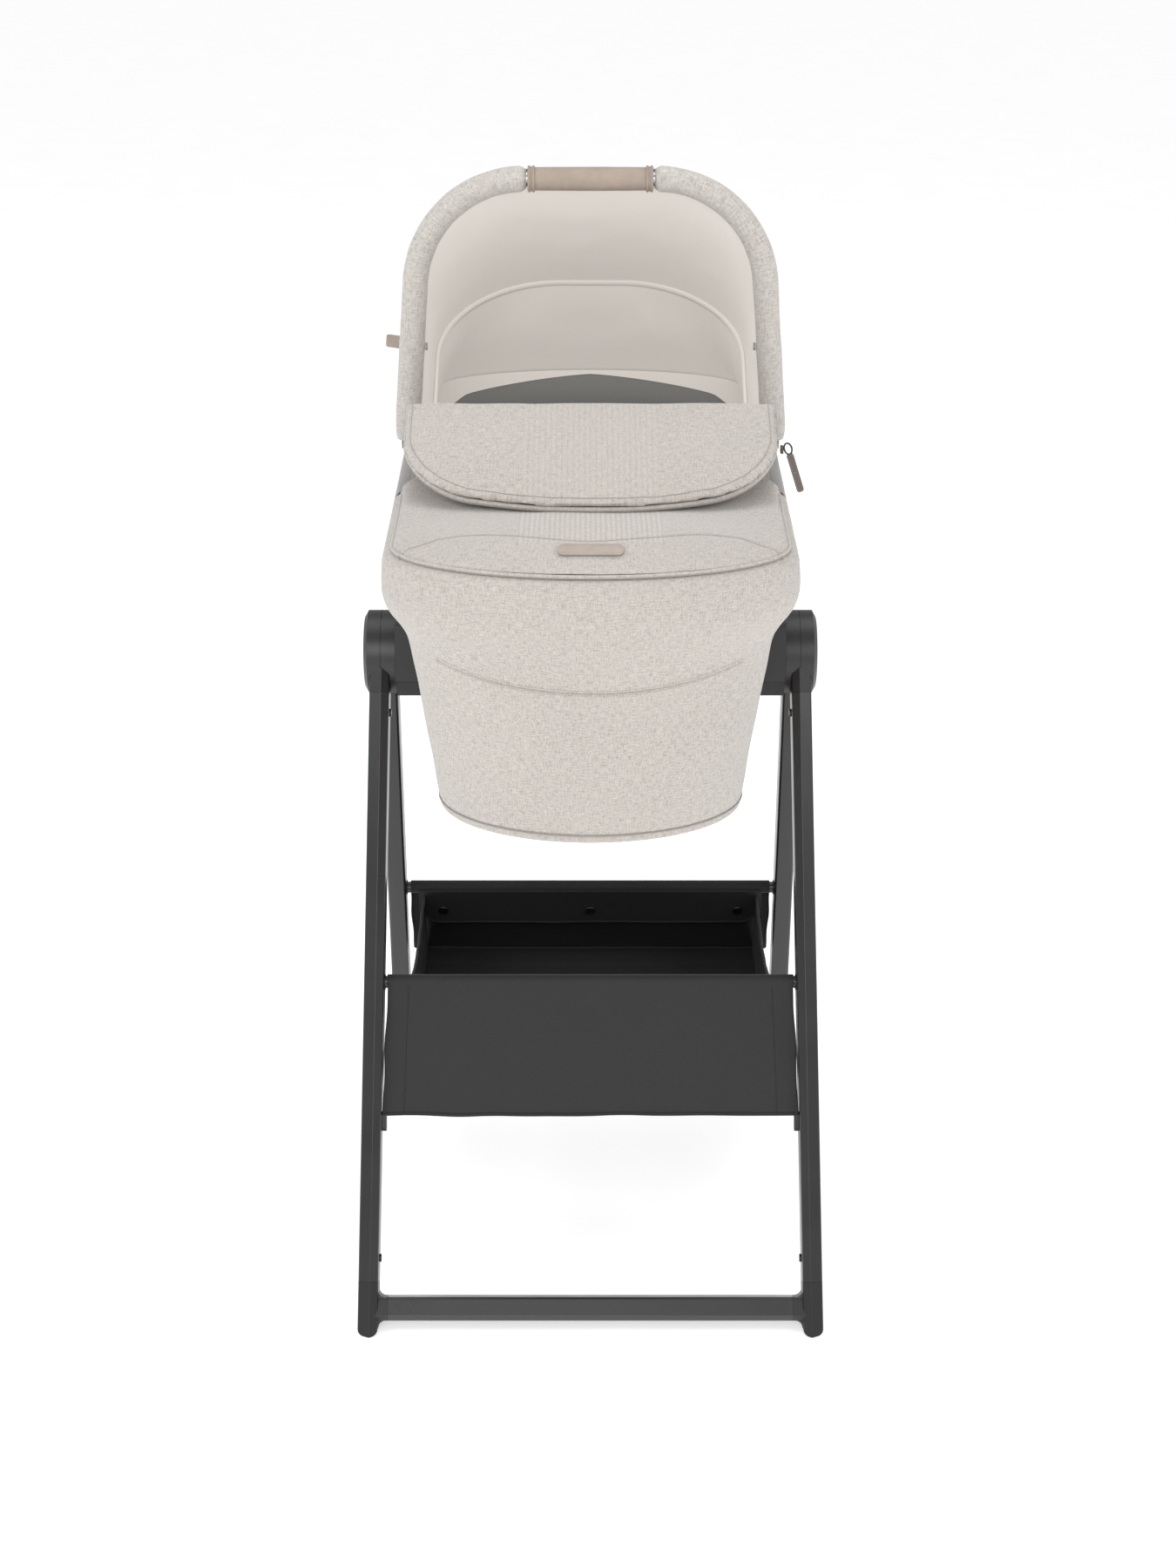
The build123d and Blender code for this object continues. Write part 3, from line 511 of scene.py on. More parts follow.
frame_paint = coated("frame_paint", srgb(20, 20, 21), roughness=0.3, grain=0.00004, gloss=0.75)
fitting_paint = coated("fitting_paint", srgb(15, 15, 16), roughness=0.4, grain=0.00005, gloss=0.6)
black_plastic = coated("black_plastic", srgb(24, 24, 25), grain=0.00006, scale=1400)
button_plastic = coated("button_plastic", srgb(32, 32, 33), roughness=0.55, grain=0.00006, scale=1400)
grey_plastic = coated("grey_plastic", srgb(120, 118, 115), grain=0.00005)
rib_plastic = coated("rib_plastic", srgb(190, 188, 184))
rubber = coated("rubber", srgb(30, 30, 30), roughness=0.85, grain=0.0001, edge_highlight=0.1)
screw_steel = metal("screw_steel", srgb(60, 60, 62))
inner_steel = metal("inner_steel", srgb(150, 150, 152), brushed=True)
aluminium = metal("aluminium", srgb(188, 189, 190), brushed=True)
dark_metal = metal("dark_metal", srgb(92, 86, 80))
board = coated("board", srgb(150, 130, 105), roughness=0.8, grain=0.0001, edge_highlight=0, scale=500)

CAD_FINISH = {
    frame_paint: ("_leg_", "crossbar", "basket_bar"),
    fitting_paint: ("_foot_left", "_foot_right", "_hub_", "hub_caps"),
    black_plastic: ("adaptor_", "bar_brackets", "basket_brackets", "carrycot_connectors"),
    button_plastic: ("release_button", "fold_button"),
    grey_plastic: ("hood_mounts", "hoop_snaps"),
    rubber: ("foot_pads",),
    screw_steel: ("screws",),
    inner_steel: ("hub_axles", "lock_gears", "button_springs"),
    aluminium: ("rim_frame", "hood_hoop"),
    rib_plastic: ("canopy_rib",),
    dark_metal: ("zip_slider", "basket_snaps"),
    board: ("base_board",),
    tan_leather: ("grip_collars",),
}
for name, node in nodes.items():
    for finish, words in CAD_FINISH.items():
        if any(word in name for word in words):
            if not node.material_slots:
                node.data.materials.append(finish)
            for place in node.material_slots:
                place.material = finish


# -------- carrycot body
def tub_size(z):
    """Half width, half length and end depth of the carrycot at a height, on a smooth curve through TUB."""
    last = len(TUB) - 1
    i = 0
    while i < last - 1 and z > TUB[i + 1][0]:
        i += 1
    z0, z1 = TUB[i][0], TUB[i + 1][0]
    t = (z - z0) / (z1 - z0)
    out = []
    for k in (1, 2, 3):
        p0, p1, p2, p3 = (TUB[min(last, max(0, i + d))][k] for d in (-1, 0, 1, 2))
        m1 = (p2 - p0) / (TUB[i + 1][0] - TUB[max(0, i - 1)][0]) * (z1 - z0)
        m2 = (p3 - p1) / (TUB[min(last, i + 2)][0] - z0) * (z1 - z0)
        out.append(
            (2 * t**3 - 3 * t * t + 1) * p1 + (t**3 - 2 * t * t + t) * m1
            + (3 * t * t - 2 * t**3) * p2 + (t**3 - t * t) * m2
        )
    return out


STRAIGHTS, ARCS = 26, 52   # points of a ring along each side and round each end
PLAN = 214, 418            # half width and half length at the rim
TUB_HEIGHT = 308
SHOULDER = 13              # rounding of the padded edge at the rim


def oval_ring(half_width, half_length, end_depth, z):
    """Points round the oval plan, z being a number or a function of y."""
    straight = half_length - end_depth
    flat = []
    for side, start in ((1, 0), (-1, pi)):
        for k in range(STRAIGHTS):
            flat.append((side * half_width, side * lerp(-straight, straight, k / STRAIGHTS)))
        for k in range(ARCS):
            turn = start + pi * k / ARCS
            flat.append((half_width * cos(turn), side * straight + end_depth * sin(turn)))
    return [(x, y, z(y) if callable(z) else z) for x, y in flat]


def rim(y):
    return RIM_Z + RIM_SLOPE * y


def tub_ring(share, inset=0, low=615, rise=0):
    """Ring round the carrycot at a share of the way from low up to the rim."""
    sizes = [size - inset for size in tub_size(lerp(low, RIM_Z + rise, share))]
    return oval_ring(*sizes, lambda y: lerp(low, rim(y) + rise, share))


def ring_puckers(ring, depth, size, seed):
    """Ease a ring's points in and out from its middle, as cloth does over padding."""
    out = []
    for x, y, z in ring:
        length = hypot(x / PLAN[0], y / PLAN[1])
        move = depth * wander(x, y, z, size, seed)
        out.append((x + move * x / PLAN[0] / length, y + move * y / PLAN[1] / length, z))
    return out


# Rows from the middle of the base, round its edge, up the wall and over the rim
rows = []
for share in shares(6)[:-1]:
    rows.append(oval_ring(10 + 150 * share, 215 + 160 * share, 10 + 112 * share, 616.5 - 1.2 * smooth(share)))
for k in range(5):
    turn = radians(18 * k)
    inset = 3 * (1 - sin(turn))
    rows.append(oval_ring(*[size - inset for size in tub_size(617)], 618 - 2.8 * cos(turn)))
for share in shares(70, 1):
    below = (1 - share) * TUB_HEIGHT
    seam = 1.1 * max(0, 1 - abs(share * TUB_HEIGHT - 9) / 3.2)
    shoulder = SHOULDER * (1 - sqrt(1 - (1 - min(1, below / SHOULDER)) ** 2))
    ring = tub_ring(share, inset=seam + shoulder * 0.9)
    rows.append(ring_puckers(ring, 1.3 * smooth(share * 8) * smooth((1 - share) * 12), 55, 1))
rows.append(tub_ring(1, inset=WALL + 1, rise=1))
rows.append(tub_ring(1, inset=WALL + 3, rise=0))
tub_skin = skin("tub_skin", rows, wrap=True)
dress(tub_skin, body_cloth, "carrycot", "body_fabric", "carrycot_shell")

ROLL = WALL + 17            # the lining stands in over the rim frame
rows = [tub_ring(1, inset=inset, rise=rise) for inset, rise in ((WALL + 2, 1), (WALL + 12, 1), (ROLL, -5))]
for step in range(3, 41):
    share = 1 - step / 40
    ring = tub_ring(share, inset=WALL + 3 * share + 14 * smooth((share - 0.8) / 0.1), low=640)
    rows.append(ring_puckers(ring, 1.2 * smooth((1 - share) * 6), 45, 2))
for share in (0.97, 0.8, 0.5, 0.1):
    rows.append(oval_ring(156 * share, 200 + 170 * share, 118 * share, 639))
tub_lining = skin("tub_lining", rows, wrap=True)
dress(tub_lining, grey_cloth, "carrycot", "body_fabric")


def rim_band(inset, rise, start_y):
    """Points round the head end of the rim, from the right side at start_y to the left side."""
    half_width, half_length, end_depth = tub_size(RIM_Z)
    half_width, end_depth = half_width - inset, end_depth - inset
    straight = half_length - inset - end_depth
    flat = [(half_width, lerp(start_y, straight, k / 30)) for k in range(30)]
    flat += [(half_width * cos(pi * k / 50), straight + end_depth * sin(pi * k / 50)) for k in range(51)]
    flat += [(-half_width, lerp(straight, start_y, k / 30)) for k in range(1, 31)]
    return [(x, y, rim(y) + rise) for x, y in flat]


# Inset and rise of the binding's rows, from outside the rim to inside it
BINDING = (0.2, -22), (0, -14), (0.4, -9), (2.2, -4.5), (5.5, -0.6), (9.5, 1.6), (13, 2), (16, 0.6), (17, -4)
binding = skin("rim_binding", [rim_band(inset, rise, -120) for inset, rise in BINDING])
dress(binding, grey_cloth, "carrycot", "body_fabric")

# The hood lining runs on down the wall at the head end, lowest at the sides
rows = []
for share in shares(11):
    row = []
    for x, y, z in rim_band(ROLL + 1.6, 4, 120):
        drop = 6 + 17 * (min(157, abs(x)) / 157) ** 1.2 + 10 * smooth((abs(x) - 150) / 25)
        row.append((x, y - 1.5 * share, z - drop * share))
    rows.append(row)
skirt = skin("lining_skirt", rows)
dress(skirt, lining_cloth, "carrycot", "canopy_fabric")


# -------- mattress
rows = [oval_ring(139 * share, 247 + 105 * share, 105 * share, 636.5) for share in (0.1, 0.5, 0.9)]
for z, grow in ((637, -6), (640, -1.5), (646, 0), (655, 0.5), (663, 0), (668, -2), (670, -7)):
    rows.append(oval_ring(145 + grow, 358 + grow, 111 + grow, z))
for share in (0.85, 0.6, 0.35, 0.1):
    rows.append(oval_ring(138 * share, 247 + 104 * share, 104 * share, 670.5 + 2 * (1 - share)))
mattress = skin("mattress_pad", rows, wrap=True)
close_ends(mattress)
puff(mattress, cap=5)
map_uv(mattress, lambda p: (p.x, p.y + p.z))
dress(mattress, cover_cloth, "carrycot", "mattress_cover", "mattress")
piping = tube("mattress_piping", oval_ring(143.5, 356.5, 110, 668), 1.6, closed=True)
dress(piping, cover_cloth, "carrycot", "mattress_cover")


# -------- apron
APRON_HALF, APRON_END = 202, 98
APRON_STRAIGHT = 313       # from the middle to where the foot end starts to round
ROUND, RISE = 0.3, 0.7     # shares of the apron's length where the round ends and the rise starts
RISE_Y = -160
CORNER_Y = -128
FOLD_HALF = 188
CREST_Y = -374             # top of the padded foot end
SEAM_HALF = 196


def apron_edge_distance(x, y):
    """Distance from a point of the plan to the rim, in mm."""
    if y > -APRON_STRAIGHT:
        return APRON_HALF - abs(x)
    across, deep = x / APRON_HALF, (-y - APRON_STRAIGHT) / APRON_END
    out = hypot(across, deep)
    if out < 1e-6:
        return APRON_END
    slope = hypot(across / APRON_HALF, deep / APRON_END) / out
    return (1 - out) / slope


def apron_top(x, y):
    """Height of the apron over the plan, before it rises to the fold."""
    edge = apron_edge_distance(x, y)
    round_edge = 7 * sqrt(max(0, 1 - (1 - min(1, max(0, edge) / 10)) ** 2))
    wide = max(0, 1 - (abs(x) / 206) ** 2.6)
    front = smooth((edge - 2) / 36) * smooth((-y - 210) / 120)
    dome = (3.5 + 13.5 * front) * wide
    return rim(y) + 1 + round_edge + dome + 0.8 * wander(x, y, 0, 46, 3)


def apron_point(s, t):
    """Point of the apron: s from -1 to 1 across, t from 0 at the foot end to 1 at the fold."""
    if t < ROUND:
        turn = pi / 2 * (1 - t / ROUND)
        y = -APRON_STRAIGHT - APRON_END * sin(turn)
        x = APRON_HALF * cos(turn) * s
        return (x, y, apron_top(x, y))
    if t < RISE:
        y = lerp(-APRON_STRAIGHT, RISE_Y, (t - ROUND) / (RISE - ROUND))
        x = APRON_HALF * s
        return (x, y, apron_top(x, y))
    rise = (t - RISE) / (1 - RISE)
    y = lerp(RISE_Y, FOLD_Y - 3, rise)
    half = lerp(APRON_HALF, FOLD_HALF, smooth((y - CORNER_Y + 10) / 14))
    x = half * s
    low = apron_top(APRON_HALF * s, y)
    return (x, y, lerp(low, FOLD_Z - 4, rise**1.6))


along = [lerp(0, ROUND, share) for share in shares(44)[:-1]]
along += [lerp(ROUND, RISE, share) for share in shares(30)[:-1]]
along += [lerp(RISE, 1, share) for share in shares(60)]
apron = skin("apron_cover", [[apron_point(s, t) for s in eased(1, 120)] for t in along])
map_uv(apron, lambda p: (p.x, p.y + p.z))
thicken(apron, 5)
dress(apron, apron_cloth, "carrycot", "apron_fabric", "apron")

# Piping where the apron meets the rim, and the seam across its front
half = APRON_HALF + 1
edge = [(-half, lerp(CORNER_Y, -APRON_STRAIGHT, share)) for share in shares(20)[:-1]]
for k in range(61):
    turn = pi + pi * k / 60
    edge.append((half * cos(turn), -APRON_STRAIGHT + (APRON_END + 0.5) * sin(turn)))
edge += [(half, lerp(-APRON_STRAIGHT, CORNER_Y, share)) for share in shares(20, 1)]
edge = [(x, y, rim(y) + 2.2) for x, y in edge]
dress(tube("apron_piping", edge, 1.7), body_cloth, "carrycot", "apron_fabric")
edge = [(x * 1.004, y * 1.002, z - 1.9) for x, y, z in edge]
dress(tube("apron_seam_shadow", edge, 0.7), seam_cloth, "carrycot", "apron_fabric")


def front_seam(back, sink=0):
    """The seam across the apron's front, moved back or sunk in by some mm."""
    line = []
    for x in spaced(SEAM_HALF, 90):
        y = CREST_Y + 4 + 20 * sin(pi * abs(x) / 230) ** 2 + 19 * smooth(abs(x) / SEAM_HALF) + back
        line.append((x, y, apron_top(x, y) - sink))
    return line


dress(tube("apron_front_seam", front_seam(0, 0.2), 0.9, sides=6), seam_cloth, "carrycot", "apron_fabric")
dress(stitches("apron_front_stitching", front_seam(4), (0, 0, 1)), cream_thread, "carrycot", "apron_fabric")

# Curved topstitching on the foot end of the carrycot
tub_surface = surface(tub_skin)
STITCH_HALF = 158


def on_tub(x, z):
    """Point just off the foot end's outer face."""
    hit = tub_surface.ray_cast(Vector((x, -1000, z)) * MM, Vector((0, 1, 0)))[0]
    return (x, hit.y / MM - 0.4, z)


for row, drop in enumerate((0, 5)):
    line = [
        on_tub(x, 808 - 21 * (1 - (abs(x) / STITCH_HALF) ** 2.2) - drop) for x in spaced(STITCH_HALF, 100)
    ]
    sewn = stitches(f"body_topstitching_{row}", line, (0, -1, 0), pitch=3.2, length=2.2)
    dress(sewn, cream_thread, "carrycot", "body_fabric")
line = [(x, y, z + drop / 2) for x, y, z in line]
dress(tube("body_topstitching_seam", line, 0.55, sides=6), seam_cloth, "carrycot", "body_fabric")

# Hem near the base
HEM_Z = 624
line = oval_ring(*[size + 0.3 for size in tub_size(HEM_Z)], HEM_Z)
dress(tube("body_hem_seam", line, 0.8, sides=6, closed=True), piping_cloth, "carrycot", "body_fabric")


# -------- flap
def flap_edge(x):
    """How far the flap reaches from the fold, in mm."""
    corner = 74
    length = 191 - 22 * (x / 153) ** 2
    share = min(1, max(0, abs(x) - FLAP_HALF + corner) / corner)
    return length - corner * (1 - sqrt(1 - share * share))


def flap_point(x, reach, lift=0):
    """Point on the flap's outer face, reach mm from the fold."""
    bow = 5 * sin(pi * min(1, max(0, reach) / 190)) + 2.5 * (1 - (x / FLAP_HALF) ** 2)
    bow += 0.9 * wander(x, reach, 0, 60, 4)
    y = FOLD_Y - reach * cos(FLAP_DROP) - (lift + bow) * sin(FLAP_DROP)
    z = FOLD_Z - reach * sin(FLAP_DROP) + (lift + bow) * cos(FLAP_DROP) - 3
    return (x, y, z)


across = eased(FLAP_HALF, 110)
flap = skin("flap_cover", [[flap_point(x, flap_edge(x) * k / 45) for x in across] for k in range(46)])
thicken(flap, 6)
puff(flap, cap=3, voxel=4)
map_uv(flap, lambda p: (p.x, hypot(p.y - FOLD_Y, p.z - FOLD_Z)))
dress(flap, flap_cloth, "flap", "flap_fabric", "apron_flap")

flap_surface = surface(flap)


def on_flap(x, reach):
    """Point on the padded flap's outer face."""
    out = Vector((0, -sin(FLAP_DROP), cos(FLAP_DROP)))
    start = Vector(flap_point(x, reach)) + out * 40
    hit = flap_surface.ray_cast(start * MM, -out)[0]
    return tuple(hit / MM) if hit else flap_point(x, reach)


# The seam has no lift: it lies on the surface
for name, inset, lift, radius, cloth in (
    ("flap_piping", 4.2, -2.4, 2.6, body_cloth),
    ("flap_piping_shadow", 3.6, -4.9, 1.3, piping_cloth),
    ("flap_seam", 9, None, 0.6, seam_cloth),
):
    half = FLAP_HALF - inset
    line = [(-half, 4 + 3.5 * k) for k in range(18)]
    line += [(x * half / FLAP_HALF, flap_edge(x) - inset) for x in eased(FLAP_HALF, 120)]
    line += [(half, 4 + 3.5 * k) for k in range(17, -1, -1)]
    line = [on_flap(x, reach) if lift is None else flap_point(x, reach, lift) for x, reach in line]
    dress(tube(name, line, radius, sides=8), cloth, "flap", "flap_fabric")

line = [(x, FOLD_Y - 0.5, FOLD_Z - 5) for x in spaced(FOLD_HALF - 2, 60)]
dress(tube("apron_fold_binding", line, 3.4, sides=12), body_cloth, "carrycot", "apron_fabric")


# -------- badge, tab and puller
def slab(name, outline, place, thickness):
    """Thin rounded slab: outline points (u, v) put in space by place(u, v, height)."""
    edge = 0.8
    centre = [sum(p[k] for p in outline) / len(outline) for k in (0, 1)]
    rows = []
    for inset, height in (
        (edge, 0), (0, edge * 0.6), (0, thickness - edge * 0.8), (edge * 0.5, thickness - edge * 0.15),
        (edge * 1.4, thickness), (edge * 4, thickness + 0.1),
    ):
        row = []
        for u, v in outline:
            du, dv = centre[0] - u, centre[1] - v
            length = hypot(du, dv) or 1
            row.append(place(u + du / length * inset, v + dv / length * inset, height))
        rows.append(row)
    near = [(lerp(u, centre[0], 0.97), lerp(v, centre[1], 0.97)) for u, v in outline]
    return skin(name, rows + [[place(u, v, thickness + 0.2) for u, v in near]], wrap=True)


def round_box(width, height, radius):
    """Outline of a rounded rectangle round the origin."""
    out = []
    for sx, sy, start in ((1, 1, 0), (-1, 1, 90), (-1, -1, 180), (1, -1, 270)):
        for k in range(9):
            turn = radians(start + 90 * k / 8)
            x, y = sx * (width / 2 - radius), sy * (height / 2 - radius)
            out.append((x + radius * cos(turn), y + radius * sin(turn)))
    return out


FINE = dict(pitch=2.4, length=1.6, width=0.5, height=0.2, lift=0.1)
BADGE_Y = -387
slope = (apron_top(0, BADGE_Y + 7) - apron_top(0, BADGE_Y - 7)) / 14
lean = hypot(1, slope)


def badge_place(u, v, height):
    y = BADGE_Y + v / lean
    top = apron_top(0, BADGE_Y) + slope * v / lean
    return (u, y - height * slope / lean, top + (height + 0.9) / lean)


badge = slab("badge_plate", round_box(66, 15, 6), badge_place, 2.2)
dress(badge, badge_leather, "carrycot", "leather", "apron_badge")
line = [badge_place(u, v, 2.5) for u, v in round_box(61, 10.5, 4)]
dress(stitches("badge_stitching", line, (0, 0, 1), **FINE), cream_thread, "carrycot", "leather")


# -------- hood
def arch(base, high, top, corner, start, counts=(26, 34, 18)):
    """Points (x, reach) of an arch from its right foot to its left foot."""
    lean = hypot(high - base, top)
    ux, uy = (high - base) / lean, top / lean
    turn = acos(-ux)
    back = corner * tan(turn / 2)
    end = (high - ux * back, top - uy * back)
    centre = (end[0] - uy * corner, end[1] + ux * corner)
    side, bend, flat = counts
    first = (base + ux / uy * start, start)
    right = [[lerp(a, b, share) for a, b in zip(first, end)] for share in shares(side)[:-1]]
    begin = atan2(end[1] - centre[1], end[0] - centre[0])
    for k in range(bend):
        angle = begin + turn * k / bend
        right.append((centre[0] + corner * cos(angle), centre[1] + corner * sin(angle)))
    right += [(lerp(high - back, 0, k / flat), top) for k in range(flat)]
    return right + [(0, top)] + [(-x, r) for x, r in reversed(right)]


def hood_at(point, angle, lift=0):
    """Point of an arch, turned up from the horizontal about the hood's axis."""
    x, reach = point
    turn = radians(angle)
    return Vector((
        x,
        PIVOT_Y + reach * cos(turn) - lift * sin(turn),
        PIVOT_Z + reach * sin(turn) + lift * cos(turn),
    ))


def hood_rows(first, second, steps, sag, seed, depth):
    """Rows between two arches in space, sagging and puckered a little between them."""
    rows = []
    for t in shares(steps):
        row = []
        for a, b in zip(first, second):
            p = a.lerp(b, t)
            out = Vector((p.x / 210, (p.y - PIVOT_Y) / 300, (p.z - PIVOT_Z) / 300)).normalized()
            high = smooth((p.z - PIVOT_Z) / 60)
            p = p - out * sag * sin(pi * t) * high
            p = p + out * depth * wander(p.x, p.y, p.z, 48, seed) * high * sin(pi * t)
            row.append(p)
        rows.append(row)
    return rows


def resample(points, count):
    """The same line with count points, evenly spaced."""
    lengths = run_lengths(points)
    out, i = [], 0
    for k in range(count):
        spot = lengths[-1] * k / (count - 1)
        while i < len(points) - 2 and lengths[i + 1] < spot:
            i += 1
        share = (spot - lengths[i]) / (lengths[i + 1] - lengths[i])
        out.append(Vector(points[i]).lerp(Vector(points[i + 1]), min(1, share)))
    return out


front_edge = [hood_at(p, 90, -12) for p in arch(217, 201, 305, 140, 6)]
rib_line = [hood_at(p, RIB_ANGLE) for p in arch(207, 203, 303, 148, 6)]
rear_edge = resample(rim_band(-1.5, 3, PIVOT_Y + 8), len(rib_line))
canopy_front = skin("canopy_front_panel", hood_rows(front_edge, rib_line, 40, 5, 5, 2))
canopy_rear = skin("canopy_rear_panel", hood_rows(rib_line, rear_edge, 30, 4, 6, 2))
inner_front = [hood_at(p, 90, -2) for p in arch(199, 184, 288, 124, 6)]
inner_rib = [hood_at(p, RIB_ANGLE) for p in arch(181, 181, 289, 146, 6)]
inner_rear = resample(rim_band(ROLL + 1.5, 3, PIVOT_Y + 8), len(rib_line))
lining_front = skin("lining_front_panel", hood_rows(inner_front, inner_rib, 40, 3, 7, 2.2))
lining_rear = skin("lining_rear_panel", hood_rows(inner_rib, inner_rear, 30, 3, 8, 2.2))
for piece in (canopy_front, canopy_rear, lining_front, lining_rear):
    thicken(piece, 1.2, 0)
    dress(piece, hood_cloth if piece.name.startswith("canopy") else lining_cloth, None, "canopy_fabric")

# Seams and rib channel: name, body, cloth, angle, lift, arch, radius and sides of each
for name, body, cloth, angle, lift, shape, radius, sides in (
    ("lining_seam_rear", "hood_rib", lining_tape, RIB_ANGLE, -6, (180.2, 180.2, 288.2, 146, 20), 0.7, 6),
    ("lining_seam_front", "hood_rib", lining_tape, RIB_ANGLE, 6, (180.2, 180.2, 288.2, 146, 20), 0.7, 6),
    ("lining_rib_channel", "hood_rib", lining_cloth, RIB_ANGLE, 0, (181, 181, 289.5, 146, 14), 4.6, 12),
    ("canopy_seam", "hood_rib", hood_cloth, RIB_ANGLE, 2, (207.4, 203.4, 303.4, 148, 10), 1.2, 6),
    ("lining_hoop_seam_0", "hood_hoop", lining_tape, 84.5, 0, (197.4, 183.4, 287.6, 125, 20), 0.7, 6),
    ("lining_hoop_seam_1", "hood_hoop", lining_tape, 80.5, 0, (196.4, 183.4, 287.6, 125, 20), 0.7, 6),
):
    line = [hood_at(p, angle, lift) for p in arch(*shape)]
    dress(tube(name, line, radius, sides=sides), cloth, body, "canopy_fabric")


def hood_blend(piece):
    """Bake the piece's placement into its mesh."""
    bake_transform(piece)


hood_blend(canopy_front)
hood_blend(lining_front)
hood_blend(canopy_rear)
hood_blend(lining_rear)
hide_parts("canopy_front")
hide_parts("canopy_rear")

# Padded sleeves along the hoop, up to the grip's collars
SLEEVE_END = 70.5
for side, side_name in SIDES:
    full = arch(*HOOP, 4, counts=(40, 44, 30))
    path = [hood_at((side * x, reach), 90) for x, reach in full if x > SLEEVE_END]
    total = run_lengths(path)[-1]

    def sleeve_radius(share, total=total):
        along_mm = share * total
        near_top = min(1, max(0, total - along_mm) / 7)
        near_foot = min(1, (along_mm + 3) / 26)
        cap_top = sqrt(1 - (1 - near_top) ** 2)
        cap_foot = 0.55 + 0.45 * sqrt(1 - (1 - near_foot) ** 2)
        pucker = 0.5 * wander(along_mm, 0, side * 50, 22, 9)
        return max(9.5, SLEEVE_RADIUS * (0.4 + 0.6 * cap_top)) * cap_foot + pucker

    sleeve = tube(f"sleeve_{side_name}", path, sleeve_radius, sides=28)
    dress(sleeve, hood_cloth, "hood_hoop", "sleeve_fabric", f"hoop_sleeve_{side_name}")
    line = [p + Vector((-side * SLEEVE_RADIUS * 0.784, 7, -2)) for p in path[:-6]]
    dress(tube(f"sleeve_seam_{side_name}", line, 0.8, sides=6), piping_cloth, "hood_hoop", "sleeve_fabric")

# Leather grip with a sewn seam underneath, and its collars
GRIP_Z = PIVOT_Z + HOOP[2]
path = [(-62 + 124 * k / 60, PIVOT_Y, GRIP_Z) for k in range(61)]
grip = tube(
    "grip_cover", path, lambda t: 12.6 + 0.35 * sin(pi * t) + 0.12 * wander(t * 120, 0, 0, 9, 11), sides=32
)
dress(grip, tan_leather, "hood_hoop", "leather", "hood_grip")
line = [(x, y + 10.8, z - 6.5) for x, y, z in path]
sewn = stitches("grip_stitching", line, (0, 0.86, -0.5), pitch=3.6, length=2.6, height=0.3, lift=0.1)
dress(sewn, cream_thread, "hood_hoop", "leather")
for number, x in enumerate((-67.4, -62.6, 62.6, 67.4)):
    line = [(x, PIVOT_Y + 13.2 * c, GRIP_Z + 13.2 * s) for c, s in circle(40)]
    dress(tube(f"grip_ring_{number}", line, 1.5, sides=8, closed=True), tan_leather, "hood_hoop", "leather")

# Leather tab on the left of the canopy
tab_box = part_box("canopy_tab")
tab_centre = [(tab_box[0][k] + tab_box[1][k]) / 2 / MM for k in range(3)]
tab_turn = radians(RIB_ANGLE)


def tab_place(u, v, height):
    y = v * cos(tab_turn) - height * sin(tab_turn)
    z = v * sin(tab_turn) + height * cos(tab_turn)
    droop = -0.14 * (u + 15)
    return (tab_centre[0] + u, tab_centre[1] + y, tab_centre[2] + z + droop)


tab = slab("tab_loop", round_box(30, 21, 3), tab_place, 2.6)
dress(tab, tan_leather, "hood_rib", "leather", "canopy_tab")
line = [tab_place(u, v, 2.6) for u, v in round_box(25, 16.5, 2)]
sewn = stitches("tab_stitching", line, (0, -0.44, 0.9), **dict(FINE, pitch=2.6, length=1.7))
dress(sewn, cream_thread, "hood_rib", "leather")

# Zip puller on the right
PULL_TILT = radians(17.7)


def puller_place(u, v, height):
    """u across, v up and height towards the foot end, from the puller's pivot."""
    tilt_cos, tilt_sin = cos(PULL_TILT), sin(PULL_TILT)
    return (220 + u * tilt_cos - v * tilt_sin, -height, 940 + v * tilt_cos + u * tilt_sin)


PULL_DROP = 32
pull = slab("puller_tab", [(u, v - PULL_DROP) for u, v in round_box(8, 46, 3)], puller_place, 2.2)
dress(pull, dark_leather, "puller", "leather", "zip_puller")
line = [puller_place(u, v - PULL_DROP, 2.2) for u, v in round_box(5.4, 42, 1.6)]
sewn = stitches("puller_stitching", line, (0, -1, 0), **dict(FINE, width=0.45))
dress(sewn, cream_thread, "puller", "leather")
line = [puller_place(4.2 * c, -3 + 6.5 * s, 1.1) for c, s in circle(24)]
dress(tube("puller_ring", line, 1, sides=8, closed=True), dark_metal, "puller", "dark_metal")


# -------- storage basket
def frame_at(x, end, out, along):
    """Point in a leg frame: out from the hub axis, along down the leg."""
    y = end * (out * COS_LEG + along * SIN_LEG)
    return (x, y, HUB_Z + out * SIN_LEG - along * COS_LEG)


